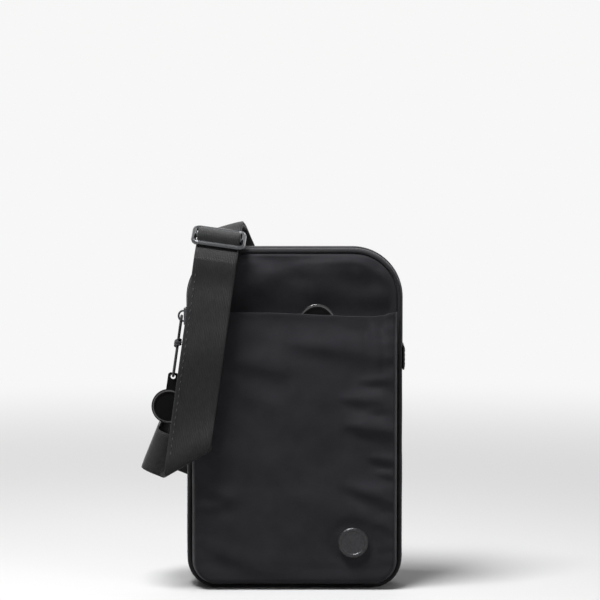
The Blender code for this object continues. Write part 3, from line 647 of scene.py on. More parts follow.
def smooth_path(points: Sequence[Vector], steps: int, closed: bool = False) -> list[Vector]:
    """A smooth curve through the given points.

    Args:
        points: The points that it passes.
        steps: How many spans lie between neighbours.
        closed: Whether it closes on itself.

    Returns:
        The curve's points.
    """
    count = len(points)
    made = []
    spans = count if closed else count - 1
    for i in range(spans):
        p1, p2 = points[i], points[(i + 1) % count]
        p0 = points[i - 1] if i or closed else p1
        p3 = points[(i + 2) % count] if i + 2 < count or closed else p2
        for k in range(steps):
            t = k / steps
            made.append(
                0.5
                * (
                    2 * p1
                    + (p2 - p0) * t
                    + (2 * p0 - 5 * p1 + 4 * p2 - p3) * t * t
                    + (3 * p1 - 3 * p2 + p3 - p0) * t**3
                )
            )
    if not closed:
        made.append(points[-1].copy())
    return made


def paced(line: Sequence[Vector], pitch: float) -> list[Vector]:
    """Mark points an even distance apart along a line.

    Args:
        line: The line's points.
        pitch: The distance from each mark to the next.

    Returns:
        The marks, from the line's first point.
    """
    marks, left = [line[0]], pitch
    for here, there in zip(line, line[1:]):
        span = (there - here).length
        while left <= span:
            marks.append(here.lerp(there, left / span))
            left += pitch
        left -= span
    return marks


@dataclass(frozen=True)
class Fold:
    """One crease of the strap: its distance, angle, bend radius, turn and the side it turns to."""

    at: float
    skew: float
    radius: float
    turn: float
    towards: int

    def bend(self, point: Station, key: tuple[float, float], side: int) -> Station:
        """Bend space round the crease.

        Args:
            point: Along the strap, across it and out of it.
            key: The point's flat place along and across.
            side: 1 above the strap's foot and -1 below it.

        Returns:
            The bent point.
        """
        skew, turn = math.radians(self.skew), math.radians(self.turn)
        crease = (math.sin(skew), math.cos(skew))
        normal = (side * math.cos(skew), -side * math.sin(skew))
        reach = (key[0] - side * self.at) * normal[0] + key[1] * normal[1]
        if reach <= 0:
            return point
        s, v, h = point[0] - side * self.at, point[1], point[2] * self.towards
        q = s * normal[0] + v * normal[1]
        along = s * crease[0] + v * crease[1]
        radius = self.radius
        if reach < radius * turn:
            angle = reach / radius
            q, h = (radius - h) * math.sin(angle), radius - (radius - h) * math.cos(angle)
        else:
            past = q - radius * turn
            q, h = (
                radius * math.sin(turn) + past * math.cos(turn) - h * math.sin(turn),
                radius * (1 - math.cos(turn)) + past * math.sin(turn) + h * math.cos(turn),
            )
        return (
            along * crease[0] + q * normal[0] + side * self.at,
            along * crease[1] + q * normal[1],
            h * self.towards,
        )

    def zone(self, side: int) -> Station:
        """Where the bend lies along the strap.

        Args:
            side: 1 above the strap's foot and -1 below it.

        Returns:
            The lower and upper distance, and the crease's slope.
        """
        reach = self.radius * math.radians(self.turn) / math.cos(math.radians(self.skew))
        low, high = sorted((side * self.at, side * (self.at + reach)))
        return low, high, math.tan(math.radians(self.skew))

    def squared(self, half_width: float) -> Station:
        """The upper bend's zone where its lines are laid square to the strap.

        Args:
            half_width: Half the strap's width.

        Returns:
            The lower and upper distance, and slope 0.
        """
        low, high, slope = self.zone(1)
        beside = half_width * abs(slope)
        return low - beside, high + beside, 0.0


@dataclass(frozen=True)
class Wave:
    """A soft rise of the webbing off its straight run, in millimetres."""

    at: float
    height: float
    before: float
    after: float

    def rise(self, place: float) -> float:
        """The rise at a place.

        Args:
            place: The distance along the webbing.

        Returns:
            The height off the straight run.
        """
        return self.height * bell(place - self.at, self.after if place > self.at else self.before)


@dataclass
class Strap:
    """The webbing strap as it lies: folds, weave through the adjuster, and turns round both rings."""

    width: float = 25 * MM
    thickness: float = 1.2 * MM
    layer: float = 2.0 * MM
    foot: Vector = field(default_factory=lambda: Vector((-61.992 * MM, -32.8 * MM, 79.5 * MM)))
    lean: float = 0.140
    left_end: float = 193.5 * MM
    right_end: float = 509.7 * MM
    tail: float = 20 * MM
    taper: float = 14 * MM
    adjuster_at: float = 136.8 * MM
    adjuster_length: float = 20.5 * MM
    adjuster_reach: float = 8.75 * MM
    bar_wire: float = 3.0 * MM
    dip_share: float = 1.35
    level_share: float = 3.0
    ring_wire: float = 2.4 * MM
    ring_clearance: float = 0.9 * MM
    gap: float = 0.3 * MM
    twist_from: float = 414.7 * MM
    twist_to: float = 474.7 * MM
    twist: float = 7.1
    row_from: float = 4 * MM
    row_pitch: float = 4.2 * MM
    row_to: float = 114 * MM
    row_across: float = 10.3 * MM
    row_lift: float = 0.05 * MM
    turn_spans: int = 14
    fold_step: float = 0.7 * MM
    straight_step: float = 4 * MM
    fewest_steps: int = 8
    waves: tuple[Wave, ...] = (Wave(2, 2.4, 5, 12), Wave(62, 2.4, 18, 18), Wave(104, -1.5, 9, 9))
    down: tuple[Fold, ...] = (
        Fold(0.0, 38, 2.2 * MM, 180, -1),
        Fold(21 * MM, 0, 7 * MM, 90, 1),
        Fold(68 * MM, 0, 7 * MM, 90, 1),
        Fold(109.5 * MM, -34, 2.2 * MM, 180, 1),
    )
    up: tuple[Fold, ...] = (
        Fold(115.4 * MM, 0, 9 * MM, 64, -1),
        Fold(147.6 * MM, 32.7, 10 * MM, 46.2, -1),
        Fold(169.8 * MM, 8.7, 13.5 * MM, 75.6, -1),
        Fold(370.3 * MM, 12.7, 6 * MM, 184.7, 1),
        Fold(396.3 * MM, 0, 20 * MM, 8.8, 1),
    )

    def point(self, s: float, v: float, h: float) -> Vector:
        """Fold one point of the flat webbing.

        Args:
            s: Its distance along the webbing from the front run's foot.
            v: Its distance across from the middle.
            h: Its height off the webbing's middle surface.

        Returns:
            Its place on the bag.
        """
        share = clamp((s - self.twist_from) / (self.twist_to - self.twist_from))
        angle = math.radians(self.twist) * share
        point = (s, v * math.cos(angle) - h * math.sin(angle), v * math.sin(angle) + h * math.cos(angle))
        for folds, side in ((self.up, 1), (self.down, -1)):
            for fold in reversed(folds):
                point = fold.bend(point, (s, v), side)
        along = Vector((math.sin(self.lean), 0, math.cos(self.lean)))
        across = Vector((math.cos(self.lean), 0, -math.sin(self.lean)))
        return self.foot + along * point[0] + across * point[1] + Vector((0, -1, 0)) * point[2]

    def stations(self, start: float, end: float) -> list[Station]:
        """Places along the webbing, close together in the folds.

        Args:
            start: The first distance.
            end: The last distance.

        Returns:
            Distance, height 0 and slope for each place, from start to end.
        """
        low_end, high_end = sorted((start, end))
        buckle_end = self.adjuster_at + self.adjuster_length / 2
        zones = [fold.zone(-1) for fold in self.down]
        for fold in self.up:
            wide = fold.squared(self.width / 2)
            zones.append(wide if wide[0] < buckle_end < wide[1] else fold.zone(1))
        marks = [(low_end, 0.0)]
        for low, high, slope in sorted(zones):
            low, high = max(low, low_end), min(high, high_end)
            if low < high:
                count = max(self.fewest_steps, round((high - low) / self.fold_step))
                marks += [(low + (high - low) * i / count, slope) for i in range(count + 1)]
        marks.append((high_end, 0.0))
        filled = [marks[0]]
        for place, slope in marks[1:]:
            last, last_slope = filled[-1]
            count = math.ceil((place - last) / self.straight_step)
            for i in range(1, count + 1):
                share = i / count
                filled.append((last + (place - last) * share, last_slope + (slope - last_slope) * share))
        made = [(s, 0.0, slope) for s, slope in filled]
        return made if end > start else made[::-1]

    def bow(self, s: float) -> float:
        """How far the front run's webbing bows out between its folds.

        Args:
            s: The distance along the webbing.

        Returns:
            The rise off the straight run.
        """
        return sum(wave.rise(s / MM) for wave in self.waves) * MM

    def dip(self, s: float) -> float:
        """The share of its dip behind the adjuster's outer bars that the webbing has.

        Args:
            s: The distance along the webbing.

        Returns:
            1 at the adjuster, and 0 where the webbing is level again.
        """
        share = abs(s - self.adjuster_at) / self.adjuster_reach - self.dip_share
        share = clamp(share / (self.level_share - self.dip_share))
        return 1 - share * share * (3 - 2 * share)

    def turn(self, s: float, h: float, radius: float, start: float, sweep: float) -> list[Station]:
        """The webbing's middle round a bar.

        Args:
            s: The bar's distance along the strap.
            h: Its height off the strap.
            radius: The radius of the webbing's middle.
            start: The angle where the turn starts.
            sweep: How far it turns.

        Returns:
            Distance, height and slope 0 for each place.
        """
        angles = [start + sweep * i / self.turn_spans for i in range(self.turn_spans + 1)]
        return [(s + radius * math.cos(a), h + radius * math.sin(a), 0.0) for a in angles]

    def path(self) -> list[Station]:
        """Follow the webbing from its sewn left tail to its hook round the adjuster's bar.

        Returns:
            Distance, height and slope of the webbing's middle at each place.
        """
        ring = self.ring_wire / 2 + self.ring_clearance + self.thickness / 2
        hook = self.bar_wire / 2 + self.gap + self.thickness / 2
        over = hook + self.thickness + self.gap
        reach, middle = self.adjuster_reach, self.adjuster_at
        left, right = -self.left_end, self.right_end
        path = [(left + self.tail, self.layer, 0.0), (left + self.taper, self.layer, 0.0)]
        path += self.turn(left, ring, ring, math.pi / 2, math.pi)
        front = self.stations(left + self.taper, middle - self.dip_share * reach)
        path += [(s, self.bow(s) - hook * self.dip(s), slope) for s, _, slope in front[:-1]]
        weave = [
            (-1.35, -hook),
            (-0.75, -hook),
            (-0.40, over * 0.62),
            (-0.22, over * 0.94),
            (0.0, over),
            (0.22, over * 0.94),
            (0.40, over * 0.62),
            (0.75, -hook),
            (1.35, -hook),
        ]
        flat = [Vector((middle + reach * share, height, 0)) for share, height in weave]
        path += [(p.x, p.y, 0.0) for p in smooth_path(flat, 4)]
        back = self.stations(middle + self.dip_share * reach, right - self.taper)
        path += [(s, -hook * self.dip(s), slope) for s, _, slope in back[1:]]
        path += self.turn(right, -ring, ring, math.pi / 2, -math.pi)
        path += [(s, -self.layer - hook * self.dip(s), slope) for s, _, slope in reversed(back)]
        path += [
            (middle + reach * 0.80, -hook - self.layer, 0.0),
            (middle + reach * 0.30, -hook, 0.0),
        ]
        return path + self.turn(middle, 0.0, hook, -math.pi / 2, -math.pi)

    def dress(self, finishes: Finishes) -> None:
        """Build the webbing, with the light picks along its front run's left edge.

        Args:
            finishes: The bag's finishes.
        """
        section = flat_section(self.width, self.thickness, across=10)
        path = self.path()
        rings, along, row, travelled = [], [], [], 0.0
        for i, (s, h, slope) in enumerate(path):
            before, after = path[max(i - 1, 0)], path[min(i + 1, len(path) - 1)]
            run = Vector((after[0] - before[0], after[1] - before[1])).normalized()
            if i:
                travelled += math.dist((s, h), path[i - 1][:2])
            along.append(travelled)
            rings.append([self.point(s + v * slope - run.y * up, v, h + run.x * up) for v, up in section])
            if self.row_from < s < self.row_to:
                v, up = -self.row_across, self.thickness / 2 + self.row_lift
                row.append(self.point(s + v * slope - run.y * up, v, h + run.x * up))
        mesh = swept_mesh("webbing", rings, along, section_steps(section))
        put("strap", mesh, finishes.webbing, "bag", ["strap_webbing"])
        picks = [paced(row, self.row_pitch)]
        stitches("strap_stitches", picks, Vector((0, -1, 0)), finishes.picks)


@dataclass(frozen=True)
class BagSize:
    """The pouch's sizes, the same as the CAD's."""

    width: float = 126 * MM
    height: float = 200 * MM
    half_gusset: float = 11 * MM
    top_radius: float = 29 * MM
    bottom_radius: float = 17 * MM
    panel_inset: float = 2.85 * MM
    panel_y: float = 11.3 * MM
    panel_face: float = 14.3 * MM
    pocket_back: float = 14.6 * MM
    pocket_face: float = 23.0 * MM
    pocket_edge: float = 163.5 * MM
    zip_end: float = 143 * MM
    zip_side: float = 28 * MM
    slot_half: float = 48 * MM
    slot_low: float = 139.5 * MM
    slot_high: float = 154.5 * MM
    chain_half: float = 2.65 * MM

    def lengths(self) -> list[float]:
        """The lengths of the outline's straights and turns.

        Returns:
            The lengths in order, from the zip's left end over the top.
        """
        turn = math.pi / 2
        return [
            self.zip_side,
            self.top_radius * turn,
            self.width - 2 * self.top_radius,
            self.top_radius * turn,
            self.height - self.top_radius - self.bottom_radius,
            self.bottom_radius * turn,
            self.width - 2 * self.bottom_radius,
            self.bottom_radius * turn,
            self.zip_end - self.bottom_radius,
        ]

    def top_length(self) -> float:
        """The length of the main zip."""
        return 2 * self.zip_side + sum(self.lengths()[1:4])

    def outline(self, travel: float) -> tuple[Vector, Vector]:
        """Walk round the bag's outline, clockwise from the zip's left end.

        Args:
            travel: The distance walked.

        Returns:
            The place and the outward direction, both with Y at 0.
        """
        half = self.width / 2
        starts = [
            (Vector((-half, 0, self.zip_end)), math.pi, 0.0),
            (Vector((-half, 0, self.height - self.top_radius)), math.pi, self.top_radius),
            (Vector((-half + self.top_radius, 0, self.height)), math.pi / 2, 0.0),
            (Vector((half - self.top_radius, 0, self.height)), math.pi / 2, self.top_radius),
            (Vector((half, 0, self.height - self.top_radius)), 0.0, 0.0),
            (Vector((half, 0, self.bottom_radius)), 0.0, self.bottom_radius),
            (Vector((half - self.bottom_radius, 0, 0)), -math.pi / 2, 0.0),
            (Vector((-half + self.bottom_radius, 0, 0)), -math.pi / 2, self.bottom_radius),
            (Vector((-half, 0, self.bottom_radius)), math.pi, 0.0),
        ]
        lengths = self.lengths()
        index = 0
        while index < len(lengths) - 1 and travel > lengths[index]:
            travel -= lengths[index]
            index += 1
        place, angle, radius = starts[index]
        normal = Vector((math.cos(angle), 0, math.sin(angle)))
        if radius == 0.0:
            run = Vector((normal.z, 0, -normal.x))
            return place + run * travel, normal
        turned = angle - travel / radius
        facing = Vector((math.cos(turned), 0, math.sin(turned)))
        return place + (facing - normal) * radius, facing

    def inside(self, x: float, z: float, inset: float) -> float:
        """How far a point of the front lies inside the outline.

        Args:
            x: Its place across.
            z: Its height.
            inset: How far the outline is drawn in first.

        Returns:
            The distance to the drawn-in outline, positive inside.
        """
        half = self.width / 2
        radius = self.top_radius if z > self.height / 2 else self.bottom_radius
        low = z if z <= self.height / 2 else self.height - z
        dx = max(0.0, abs(x) - (half - radius))
        dz = max(0.0, radius - low)
        if dx > 0 and dz > 0:
            return radius - math.hypot(dx, dz) - inset
        return min(half - abs(x), low) - inset

    def reach(self, z: float, inset: float) -> float:
        """How far the drawn-in outline reaches sideways at a height.

        Args:
            z: The height.
            inset: How far the outline is drawn in.

        Returns:
            Half the width there.
        """
        half = self.width / 2
        radius = self.top_radius if z > self.height / 2 else self.bottom_radius
        low = z if z <= self.height / 2 else self.height - z
        drop = radius - low
        if drop <= 0:
            return half - inset
        inner = radius - inset
        return half - radius + math.sqrt(max(0.0, inner * inner - drop * drop))


@dataclass(frozen=True)
class Ridge:
    """A soft fold in cloth, from one place on the front to another, in millimetres."""

    start: tuple[float, float]
    end: tuple[float, float]
    width: float
    height: float
    slow_side: float = 1.5
    steep_side: float = 0.8
    valley: float = 0.45
    valley_at: float = 1.9
    quickness: float = 2.2
    end_share: float = 1.25
    end_fade: float = 4.0
    slender: float = 0.55
    spreading: float = 0.6

    def lift(self, x: float, z: float) -> float:
        """How far the fold lifts the cloth at a place.

        Args:
            x: The place across, in millimetres.
            z: Its height, in millimetres.

        Returns:
            The lift in millimetres.
        """
        here, start, end = Vector((x, z)), Vector(self.start), Vector(self.end)
        run = end - start
        share = (here - start).dot(run) / run.length_squared
        grow = math.sin(math.pi / 2 * clamp(self.quickness * share))
        fade = grow * clamp((self.end_share - share) * self.end_fade)
        level = abs(run.x) > abs(run.y)
        above = (z - start.y - run.y * share) if level else (x - start.x - run.x * share)
        off = above / (self.width * (self.slender + self.spreading * clamp(share)))
        crest = bell(off, self.slow_side if off > 0 else self.steep_side)
        return self.height * fade * (crest - self.valley * bell(off + self.valley_at, 1.0))


def cloth_sheet(
    name: str,
    columns: Sequence[float],
    rows: Sequence[float],
    place: Callable[[float, float], Vector],
    behind: Callable[[Vector], Vector],
    keep: Callable[[float, float], bool] | None = None,
) -> bpy.types.Mesh:
    """A closed sheet from a grid, with its back surface given by its front one.

    Args:
        name: The mesh's name.
        columns: The grid's places across.
        rows: The grid's places up.
        place: Gives the front surface's point for a column and a row.
        behind: Gives the back surface's point for a front one.
        keep: Says which cells stay, by their middle; all of them if it is left out.

    Returns:
        The closed sheet with texture coordinates in metres.
    """
    build = bmesh.new()
    layer = build.loops.layers.uv.new("UVMap")
    front = [[build.verts.new(place(u, w)) for u in columns] for w in rows]
    back = [[build.verts.new(behind(vertex.co)) for vertex in line] for line in front]
    kept = set()
    for j in range(len(rows) - 1):
        for i in range(len(columns) - 1):
            middle = ((columns[i] + columns[i + 1]) / 2, (rows[j] + rows[j + 1]) / 2)
            if keep is None or keep(*middle):
                kept.add((i, j))
    for i, j in kept:
        build.faces.new((front[j][i], front[j][i + 1], front[j + 1][i + 1], front[j + 1][i]))
        build.faces.new((back[j][i], back[j + 1][i], back[j + 1][i + 1], back[j][i + 1]))
        edges = (
            ((i, j - 1), (i, j), (i + 1, j)),
            ((i + 1, j), (i + 1, j), (i + 1, j + 1)),
            ((i, j + 1), (i + 1, j + 1), (i, j + 1)),
            ((i - 1, j), (i, j + 1), (i, j)),
        )
        for neighbour, (a, b), (c, d) in edges:
            if neighbour not in kept:
                build.faces.new((front[b][a], back[b][a], back[d][c], front[d][c]))
    for vertex in [v for v in build.verts if not v.link_faces]:
        build.verts.remove(vertex)
    for face in build.faces:
        for loop in face.loops:
            loop[layer].uv = (loop.vert.co.x, loop.vert.co.z + loop.vert.co.y)
    if build.calc_volume(signed=True) < 0:
        bmesh.ops.reverse_faces(build, faces=build.faces)
    mesh = bpy.data.meshes.new(name)
    build.to_mesh(mesh)
    build.free()
    return mesh


def spread(low: float, high: float, count: int, extra: Sequence[float] = ()) -> list[float]:
    """Places between two ends, closer together near both, with some exact ones among them.

    Args:
        low: The first place.
        high: The last place.
        count: How many spans there are.
        extra: Places that the list must hold.

    Returns:
        The places in order.
    """
    made = []
    for i in range(count + 1):
        share = i / count
        eased = share - math.sin(math.tau * share) / math.tau * END_EASE
        made.append(low + (high - low) * eased)
    least = (high - low) / count * LEAST_GAP
    made = [p for p in made if all(abs(p - e) > least for e in extra)]
    return sorted(made + list(extra))


@dataclass(frozen=True)
class Stitch:
    """One thread stitch: its size, the pitch of its row, and how its ends sink into the cloth."""

    length: float = 1.9 * MM
    pitch: float = 2.6 * MM
    radius: float = 0.22 * MM
    sides: int = 6
    rise: float = 0.55
    sink: float = 0.9
    shape: tuple[tuple[float, float], ...] = ((-1.0, 0.2), (-0.8, 0.8), (0.0, 1.0), (0.8, 0.8), (1.0, 0.2))

    def lay(self, build: bmesh.types.BMesh, middle: Vector, step: Vector, out: Vector) -> None:
        """Build one stitch.

        Args:
            build: The mesh that it goes into.
            middle: Its middle.
            step: The direction along it.
            out: The direction that it stands out in.
        """
        side = out.cross(step).normalized()
        rings = []
        for k, swell in self.shape:
            height = self.radius * (self.rise - self.sink * abs(k) ** 3)
            centre = middle + step * (k * self.length / 2) + out * height
            ring = []
            for j in range(self.sides):
                angle = math.tau * j / self.sides
                across = side * (math.cos(angle) * self.radius * swell)
                ring.append(build.verts.new(centre + across + out * (math.sin(angle) * self.radius * swell)))
            rings.append(ring)
        for first, second in zip(rings, rings[1:]):
            for j in range(self.sides):
                following = (j + 1) % self.sides
                build.faces.new((first[j], first[following], second[following], second[j]))
        build.faces.new(rings[0][::-1])
        build.faces.new(rings[-1])


def stitches(
    name: str,
    runs: Sequence[Sequence[Vector]],
    out: Vector,
    material: bpy.types.Material,
) -> None:
    """Lay a row of separate thread stitches along each run.

    Args:
        name: The piece's name.
        runs: The lines that the rows follow.
        out: The direction that the stitches stand out in.
        material: The thread's finish.
    """
    build, stitch = bmesh.new(), Stitch()
    for run in runs:
        gone = 0.0
        for here, there in zip(run, run[1:]):
            span = (there - here).length
            step = (there - here).normalized()
            while gone + stitch.length < span:
                stitch.lay(build, here + step * (gone + stitch.length / 2), step, out)
                gone += stitch.pitch
            gone = max(0.0, gone - span)
    bmesh.ops.recalc_face_normals(build, faces=build.faces)
    mesh = bpy.data.meshes.new(name)
    build.to_mesh(mesh)
    build.free()
    put(name, mesh, material, "bag")


@dataclass(frozen=True)
class Padding:
    """How a padded panel's cloth rounds off at its edge, ripples, and puffs above its slot."""

    columns: int = 44
    rows: int = 68
    edge_radius: float = 1.1 * MM
    ripple: float = 0.45 * MM
    ripple_fineness: float = 26.0
    ripple_reach: float = 14 * MM
    back_share: float = 0.6
    back_rise: float = 0.1 * MM
    puff_reach: float = 5 * MM
    free_from: float = 161 * MM
    free_over: float = 28 * MM
    drawn_over: float = 4 * MM
    drawn: float = 2.5 * MM
    swell: float = 2.2 * MM
    layers: tuple[Rumple, ...] = (Rumple(4.4 * MM, 42, 50, 9.2), Rumple(1.4 * MM, 95, 110, 2.0))


@dataclass(frozen=True)
class Strip:
    """A strip of cloth round part of the outline. Its ripple is a share of its bulge."""

    thickness: float
    bulge: float
    step: float
    spans: int = 12
    tuck: float = 0.25 * MM
    lining_share: float = 0.6
    ripple: Rumple = Rumple(0.5, 40, 60, 2.0)


@dataclass
class Pouch:
    """The pouch: padded panels, gusset, zip tapes, seam binding and side tabs."""

    size: BagSize
    finishes: Finishes
    padding: Padding = Padding()
    gusset: Strip = Strip(thickness=1.6 * MM, bulge=0.5 * MM, step=3 * MM)
    tape: Strip = Strip(thickness=1.0 * MM, bulge=0.12 * MM, step=2.2 * MM)
    gusset_gap: float = 0.3 * MM
    tape_tuck: float = 0.5 * MM
    binding_radius: float = 1.3 * MM
    binding_inset: float = 1.5 * MM
    binding_depth: float = 12.6 * MM
    binding_step: float = 2.4 * MM
    binding_wobble: Rumple = Rumple(0.12 * MM, 55, 3.0, 1.0)
    tab_spans: int = 14
    tab_pinch: float = 0.75
    tab_narrow: float = 0.985
    tab_puff: float = 0.25 * MM
    tab_seam: float = 1.8 * MM
    tab_seam_half: float = 9.2 * MM
    seam_rise: float = 0.12 * MM

    def panel(self, face: Face) -> None:
        """Build one padded panel.

        Args:
            face: The face that it covers.
        """
        size, pad, side = self.size, self.padding, face.value
        front = face is Face.FRONT
        edge = size.reach(size.height / 2, size.panel_inset)
        slot_u = size.slot_half / edge
        columns = spread(-1.0, 1.0, pad.columns, (-slot_u, slot_u) if front else ())
        low, high = size.panel_inset, size.height - size.panel_inset
        rows = spread(low, high, pad.rows, (size.slot_low, size.slot_high) if front else ())
        ripples = Rumple(pad.ripple, pad.ripple_fineness, pad.ripple_fineness, 4.0 * side)

        def place(u: float, w: float) -> Vector:
            """Give the panel's outer surface at a grid place.

            Args:
                u: The place across, from -1 to 1.
                w: The height.

            Returns:
                The point.
            """
            x = u * size.reach(w, size.panel_inset)
            inside = max(0.0, size.inside(x, w, size.panel_inset))
            rest = max(0.0, pad.edge_radius - inside)
            drop = pad.edge_radius - math.sqrt(max(0.0, pad.edge_radius**2 - rest * rest))
            soft = min(1.0, inside / pad.ripple_reach)
            ripple = ripples.lift(x, w) * soft
            if not front:
                ripple = min(0.0, ripple) * pad.back_share + pad.back_rise * soft
            elif w > size.slot_high:
                ripple += self.puffs(x, w) * min(1.0, inside / pad.puff_reach)
            else:
                ripple = min(0.0, ripple)
            return Vector((x, side * (size.panel_face - drop + ripple), w))

        def behind(point: Vector) -> Vector:
            """Give the panel's inner surface behind a point."""
            return Vector((point.x, side * size.panel_y, point.z))

        def keep(u: float, w: float) -> bool:
            """Leave out the small zip's slot."""
            return not (front and abs(u) < slot_u and size.slot_low < w < size.slot_high)

        label = face.name.lower()
        mesh = cloth_sheet("panel_" + label, columns, rows, place, behind, keep)
        piece = put("padded_" + label, mesh, self.finishes.nylon, "bag", [label + "_panel"])

    def puffs(self, x: float, w: float) -> float:
        """How far the front panel's cloth stands out above its slot: full at the top, drawn in below.

        Args:
            x: The place across.
            w: The height.

        Returns:
            The rise over the panel's plain face.
        """
        pad = self.padding
        free = math.sin(clamp((w - pad.free_from) / pad.free_over) * math.pi / 2) ** 2
        drawn = min(1.0, (w - self.size.slot_high) / pad.drawn_over)
        swell = pad.swell + sum(layer.lift(x, w) for layer in pad.layers)
        return swell * free - pad.drawn * (1 - free) * drawn

    def band(
        self,
        name: str,
        strip: Strip,
        ends: tuple[float, float],
        edges: tuple[float, float],
        material: bpy.types.Material,
        node: str,
    ) -> None:
        """Build a strip of cloth round part of the outline.

        Args:
            name: The piece's name.
            strip: The strip's make.
            ends: Where it starts and ends round the outline.
            edges: The depths of its front and back edges.
            material: Its finish.
            node: The CAD node that it replaces.
        """
        low_y, high_y = edges
        rings = []
        along = self.travels(*ends, strip.step)
        for travel in along:
            place, normal = self.size.outline(travel)
            outer, inner = [], []
            for k in range(strip.spans + 1):
                share = 2 * k / strip.spans - 1
                y = (low_y + high_y) / 2 + (high_y - low_y) / 2 * share
                wave = strip.bulge * strip.ripple.lift(travel, y)
                rise = (strip.bulge + wave) * (1 - share * share)
                edge = -strip.tuck if k in (0, strip.spans) else 0.0
                point = place + Vector((0, y, 0)) + normal * (rise + edge)
                outer.append(Vector((point.x, point.y, max(0.0, point.z))))
                inward = strip.thickness - rise * strip.lining_share
                inner.append(place + Vector((0, y, 0)) - normal * inward)
            rings.append(outer + inner[::-1])
        steps = [(high_y - low_y) * k / strip.spans for k in range(strip.spans + 1)]
        around = steps + [steps[-1] + s + strip.thickness for s in steps]
        around.append(2 * steps[-1] + 2 * strip.thickness)
        mesh = swept_mesh(name, rings, along, around)
        put(name, mesh, material, "bag", [node])

    def travels(self, start: float, end: float, step: float) -> list[float]:
        """Even distances along the outline.

        Args:
            start: The first distance.
            end: The last distance.
            step: The greatest span between two.

        Returns:
            The distances.
        """
        count = max(1, math.ceil((end - start) / step))
        return [start + (end - start) * i / count for i in range(count + 1)]

    def bands(self) -> None:
        """Build the gusset and both tapes of the main zip."""
        size, finishes = self.size, self.finishes
        top, full, half = size.top_length(), sum(size.lengths()), size.half_gusset
        ends = (top + self.gusset_gap, full - self.gusset_gap)
        self.band("gusset", self.gusset, ends, (-half, half), finishes.nylon, "base_gusset")
        near = size.chain_half - self.tape_tuck
        for face in Face:
            edges = sorted((face.value * near, face.value * half))
            name = "tape_" + face.name.lower()
            self.band(name, self.tape, (0.0, top), edges, finishes.tape, "zip_" + name)

    def binding(self) -> None:
        """Build the bound cord in each panel's seam."""
        total = sum(self.size.lengths())
        travels = self.travels(0.0, total, self.binding_step)[:-1]
        for face in Face:
            path = []
            for travel in travels:
                place, normal = self.size.outline(travel)
                inset = self.binding_inset + self.binding_wobble.lift(travel, face.value)
                path.append(place - normal * inset + Vector((0, face.value * self.binding_depth, 0)))
            label = face.name.lower()
            mesh = tube("binding_" + label, path, self.binding_radius, sides=10, closed=True)
            put("binding_" + label, mesh, self.finishes.binding, "bag", ["piping_" + label])

    def side_tab(self, side: Side) -> None:
        """Build the webbing tab over one end of the zip, with its stitching.

        Args:
            side: The side that it is on.
        """
        label, sign, spans = side.name.lower(), side.value, self.tab_spans
        (left, near, bottom), (right, far, top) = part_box("zip_end_tab_" + label)
        middle = (Vector((left, near, bottom)) + Vector((right, far, top))) / 2
        section = flat_section(far - near, right - left, across=8)
        rings, along = [], []
        for i in range(spans + 1):
            z = bottom + (top - bottom) * i / spans
            end = i in (0, spans)
            pinch, narrow = (self.tab_pinch, self.tab_narrow) if end else (1.0, 1.0)
            puff = self.tab_puff * math.sin(math.pi * i / spans)
            ring = [(sign * (h * pinch + puff * (h > 0)), v * narrow) for v, h in section]
            rings.append([Vector((middle.x + x, y, z)) for x, y in ring])
            along.append(z)
        mesh = swept_mesh("tab_" + label, rings, along, section_steps(section))
        put("side_tab_" + label, mesh, self.finishes.webbing, "bag", ["zip_end_tab_" + label])
        x = (right if sign > 0 else left) + sign * self.seam_rise
        y, low, high = self.tab_seam_half, bottom + self.tab_seam, top - self.tab_seam
        corners = ((-y, low), (y, low), (y, high), (-y, high), (-y, low))
        box = [Vector((x, across, up)) for across, up in corners]
        stitches("side_stitches_" + label, [box], Vector((sign, 0, 0)), self.finishes.thread)

    def dress(self) -> None:
        """Build every part of the pouch."""
        for face in Face:
            self.panel(face)
        self.bands()
        self.binding()
        for side in Side:
            self.side_tab(side)
        for label in ("front_lining", "back_lining"):
            paint(label, self.finishes.lining)
        for label in ("upper", "lower"):
            paint("small_zip_tape_" + label, self.finishes.tape)


def paint(node: str, material: bpy.types.Material) -> None:
    """Give a CAD node a finish.

    Args:
        node: The node's name.
        material: Its finish.
    """
    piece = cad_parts[node]
    for slot in piece.material_slots:
        slot.material = material


@dataclass(frozen=True)
class Gathers:
    """The puckers along the pocket's seams: their pitch and height, and how they wander and fade."""

    pitch: float = 8.5 * MM
    height: float = 0.75 * MM
    fade_in: float = 2 * MM
    fade_out: float = 5.5 * MM
    least: float = 0.4
    wander: Rumple = Rumple(5.0, 9, 12, 3.3)
    uneven: Rumple = Rumple(1.0, 30, 4, 8.0)

    def lift(self, x: float, z: float, inside: float) -> float:
        """How far the puckers lift the cloth at a place.

        Args:
            x: The place across.
            z: The place up.
            inside: The distance from the seam.

        Returns:
            The lift, below 0 in the hollows.
        """
        wave = math.sin(math.tau * z / self.pitch + self.wander.lift(x, z))
        fade = math.exp(-inside / self.fade_out) * min(1.0, inside / self.fade_in)
        return self.height * wave * fade * (self.least + abs(self.uneven.lift(z, x)))


